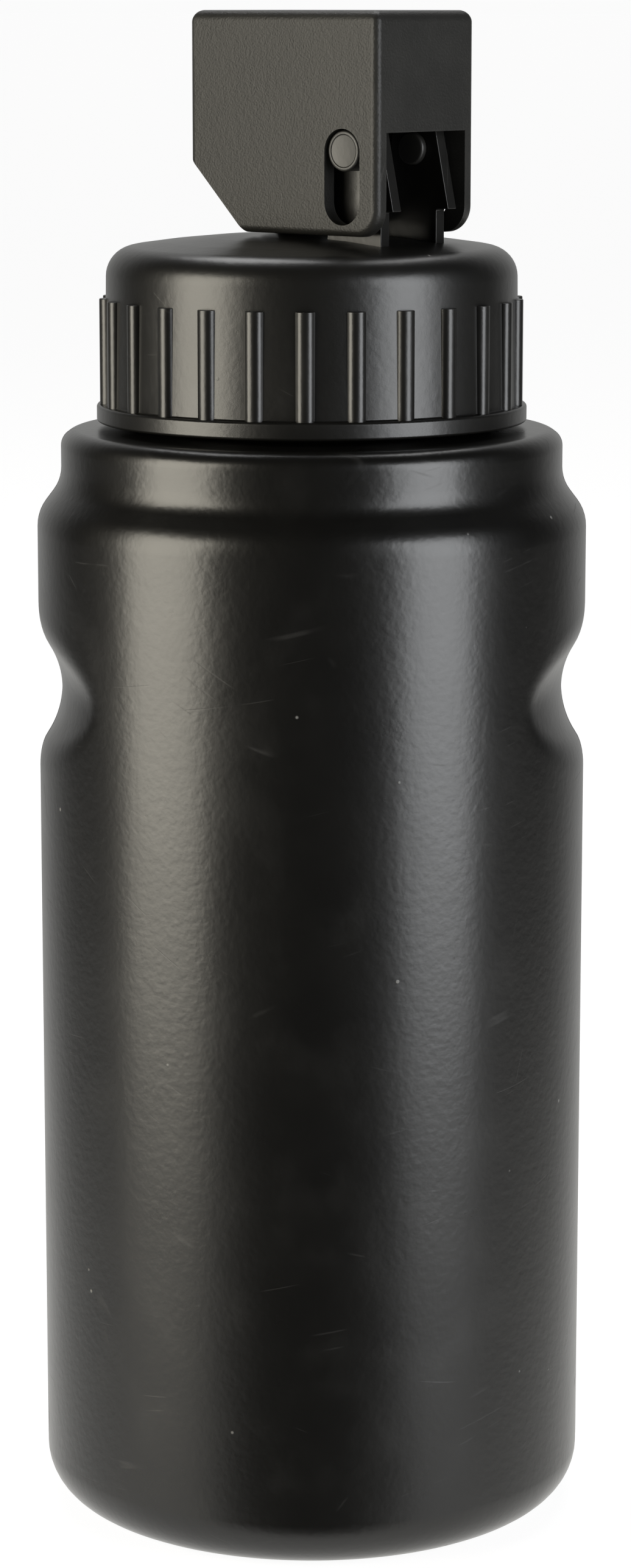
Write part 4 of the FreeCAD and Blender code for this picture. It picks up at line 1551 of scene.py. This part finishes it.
@dataclass
class Studio:
    """Floor, lights, surroundings and camera."""

    camera_bearing: float = -49.0
    camera_distance: float = 0.555
    camera_height: float = 0.2023
    camera_shift: float = 0.5 * MM
    camera_pitch: float = 10.58
    lens: float = 96.0
    sensor: float = 36.0
    near_clip: float = 0.01
    far_clip: float = 100.0
    floor_size: float = 120.0
    floor_tint: Colour = (0.12, 0.12, 0.12)
    floor_rough: float = 0.9
    floor_glow: float = 0.93
    dim: Colour = (0.025, 0.025, 0.027)
    bright: Colour = (0.54, 0.54, 0.53)
    ground: Colour = (1.15, 1.14, 1.1)
    backdrop: Colour = (0.965, 0.965, 0.965)
    behind_range: tuple[float, float] = (0.42, 0.95)  # cosine of the turn from straight behind
    below_range: tuple[float, float] = (0.15, 0.40)
    beside_range: tuple[float, float] = (-0.85, -0.6)
    boxes: list[Softbox] = field(default_factory=lambda: [
        Softbox("left_softbox", -63.0, 0.9, 0.265, (0.60, 0.8), 13.0, (1.0, 0.945, 0.81)),
        Softbox("right_softbox", 53.0, 0.9, 0.265, (0.52, 0.8), 9.4, (0.96, 0.98, 1.0)),
        Softbox("top_softbox", 180.0, 0.5, 1.2, (0.9, 0.6), 9.0, (1.0, 1.0, 1.0)),
    ])

    def build(self) -> None:
        """Builds the studio."""
        low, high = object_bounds()
        self.build_floor()
        self.build_surroundings()
        for box in self.boxes:
            box.place(self.camera_bearing, (low + high) / 2)
        self.build_camera()
        bpy.context.scene.view_settings.view_transform = "Standard"

    def build_floor(self) -> None:
        """A plain pale floor."""
        half = self.floor_size / 2
        mesh = bpy.data.meshes.new("floor")
        mesh.from_pydata([(-half, -half, 0), (half, -half, 0), (half, half, 0), (-half, half, 0)], [],
                         [(0, 1, 2, 3)])
        floor = put_in_scene("floor", mesh)
        made = bpy.data.materials.new("pale_floor")
        tree = bare_tree(made)
        shader = tree.add("ShaderNodeBsdfPrincipled", {
            "Base Color": (*self.floor_tint, 1), "Roughness": self.floor_rough,
            "Emission Color": (1, 1, 1, 1), "Emission Strength": self.floor_glow})
        tree.add("ShaderNodeOutputMaterial", {"Surface": shader.outputs[0]})
        mesh.materials.append(made)
        floor.visible_glossy = False
        floor.visible_shadow = False
        floor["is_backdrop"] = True

    def build_surroundings(self) -> None:
        """White to look at, dim in front of the bottle and bright behind it."""
        world = bpy.data.worlds.new("studio")
        tree = bare_tree(world)
        angle = math.radians(self.camera_bearing)
        behind = (-math.sin(angle), math.cos(angle), 0.0)
        towards = tree.add("ShaderNodeTexCoord").outputs["Generated"]
        dot = tree.add("ShaderNodeVectorMath", {0: towards, 1: behind}, operation="DOT_PRODUCT")
        facing = dot.outputs["Value"]
        glow = tree.mix(tree.ramp(facing, *self.behind_range), self.dim, self.bright)
        drop = tree.add("ShaderNodeSeparateXYZ", {"Vector": towards}).outputs["Z"]
        below = tree.ramp(tree.maths("MULTIPLY", drop, -1.0), *self.below_range)
        beside = tree.ramp(facing, *self.beside_range)
        glow = tree.mix(tree.maths("MULTIPLY", below, beside), glow, self.ground)
        seen = tree.add("ShaderNodeLightPath").outputs["Is Camera Ray"]
        colour = tree.mix(seen, glow, self.backdrop)
        shader = tree.add("ShaderNodeBackground", {"Color": colour, "Strength": 1.0})
        tree.add("ShaderNodeOutputWorld", {"Surface": shader.outputs[0]})
        bpy.context.scene.world = world

    def build_camera(self) -> None:
        """The camera, looking slightly down at the bottle."""
        data = bpy.data.cameras.new("camera")
        data.lens, data.sensor_width = self.lens, self.sensor
        data.clip_start, data.clip_end = self.near_clip, self.far_clip
        data.dof.use_dof = False
        camera = put_in_scene("camera", data)
        angle = math.radians(self.camera_bearing)
        back = Vector((math.sin(angle), -math.cos(angle), 0))
        right = Vector((math.cos(angle), math.sin(angle), 0))
        camera.location = back * self.camera_distance + right * self.camera_shift
        camera.location.z = self.camera_height
        pitch = math.radians(self.camera_pitch)
        aim = -back * math.cos(pitch) - Vector((0, 0, math.sin(pitch)))
        camera.rotation_euler = aim.to_track_quat("-Z", "Y").to_euler()
        bpy.context.scene.camera = camera


# ---- the whole bottle ----

def clear_scene() -> None:
    """Removes what a new file starts with."""
    for thing in list(bpy.data.objects):
        bpy.data.objects.remove(thing)


def main() -> None:
    """Builds every sub-assembly round the frame."""
    logging.basicConfig(level=logging.INFO, format="%(name)s: %(message)s")
    clear_scene()
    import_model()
    for part in (BottleSkin("bottle"), Gasket("gasket"), ScrewCap("cap"), Spout("spout"),
                 Studs("studs"), Hood("hood")):
        part.build()
    Studio().build()


if __name__ == "__main__":
    main()
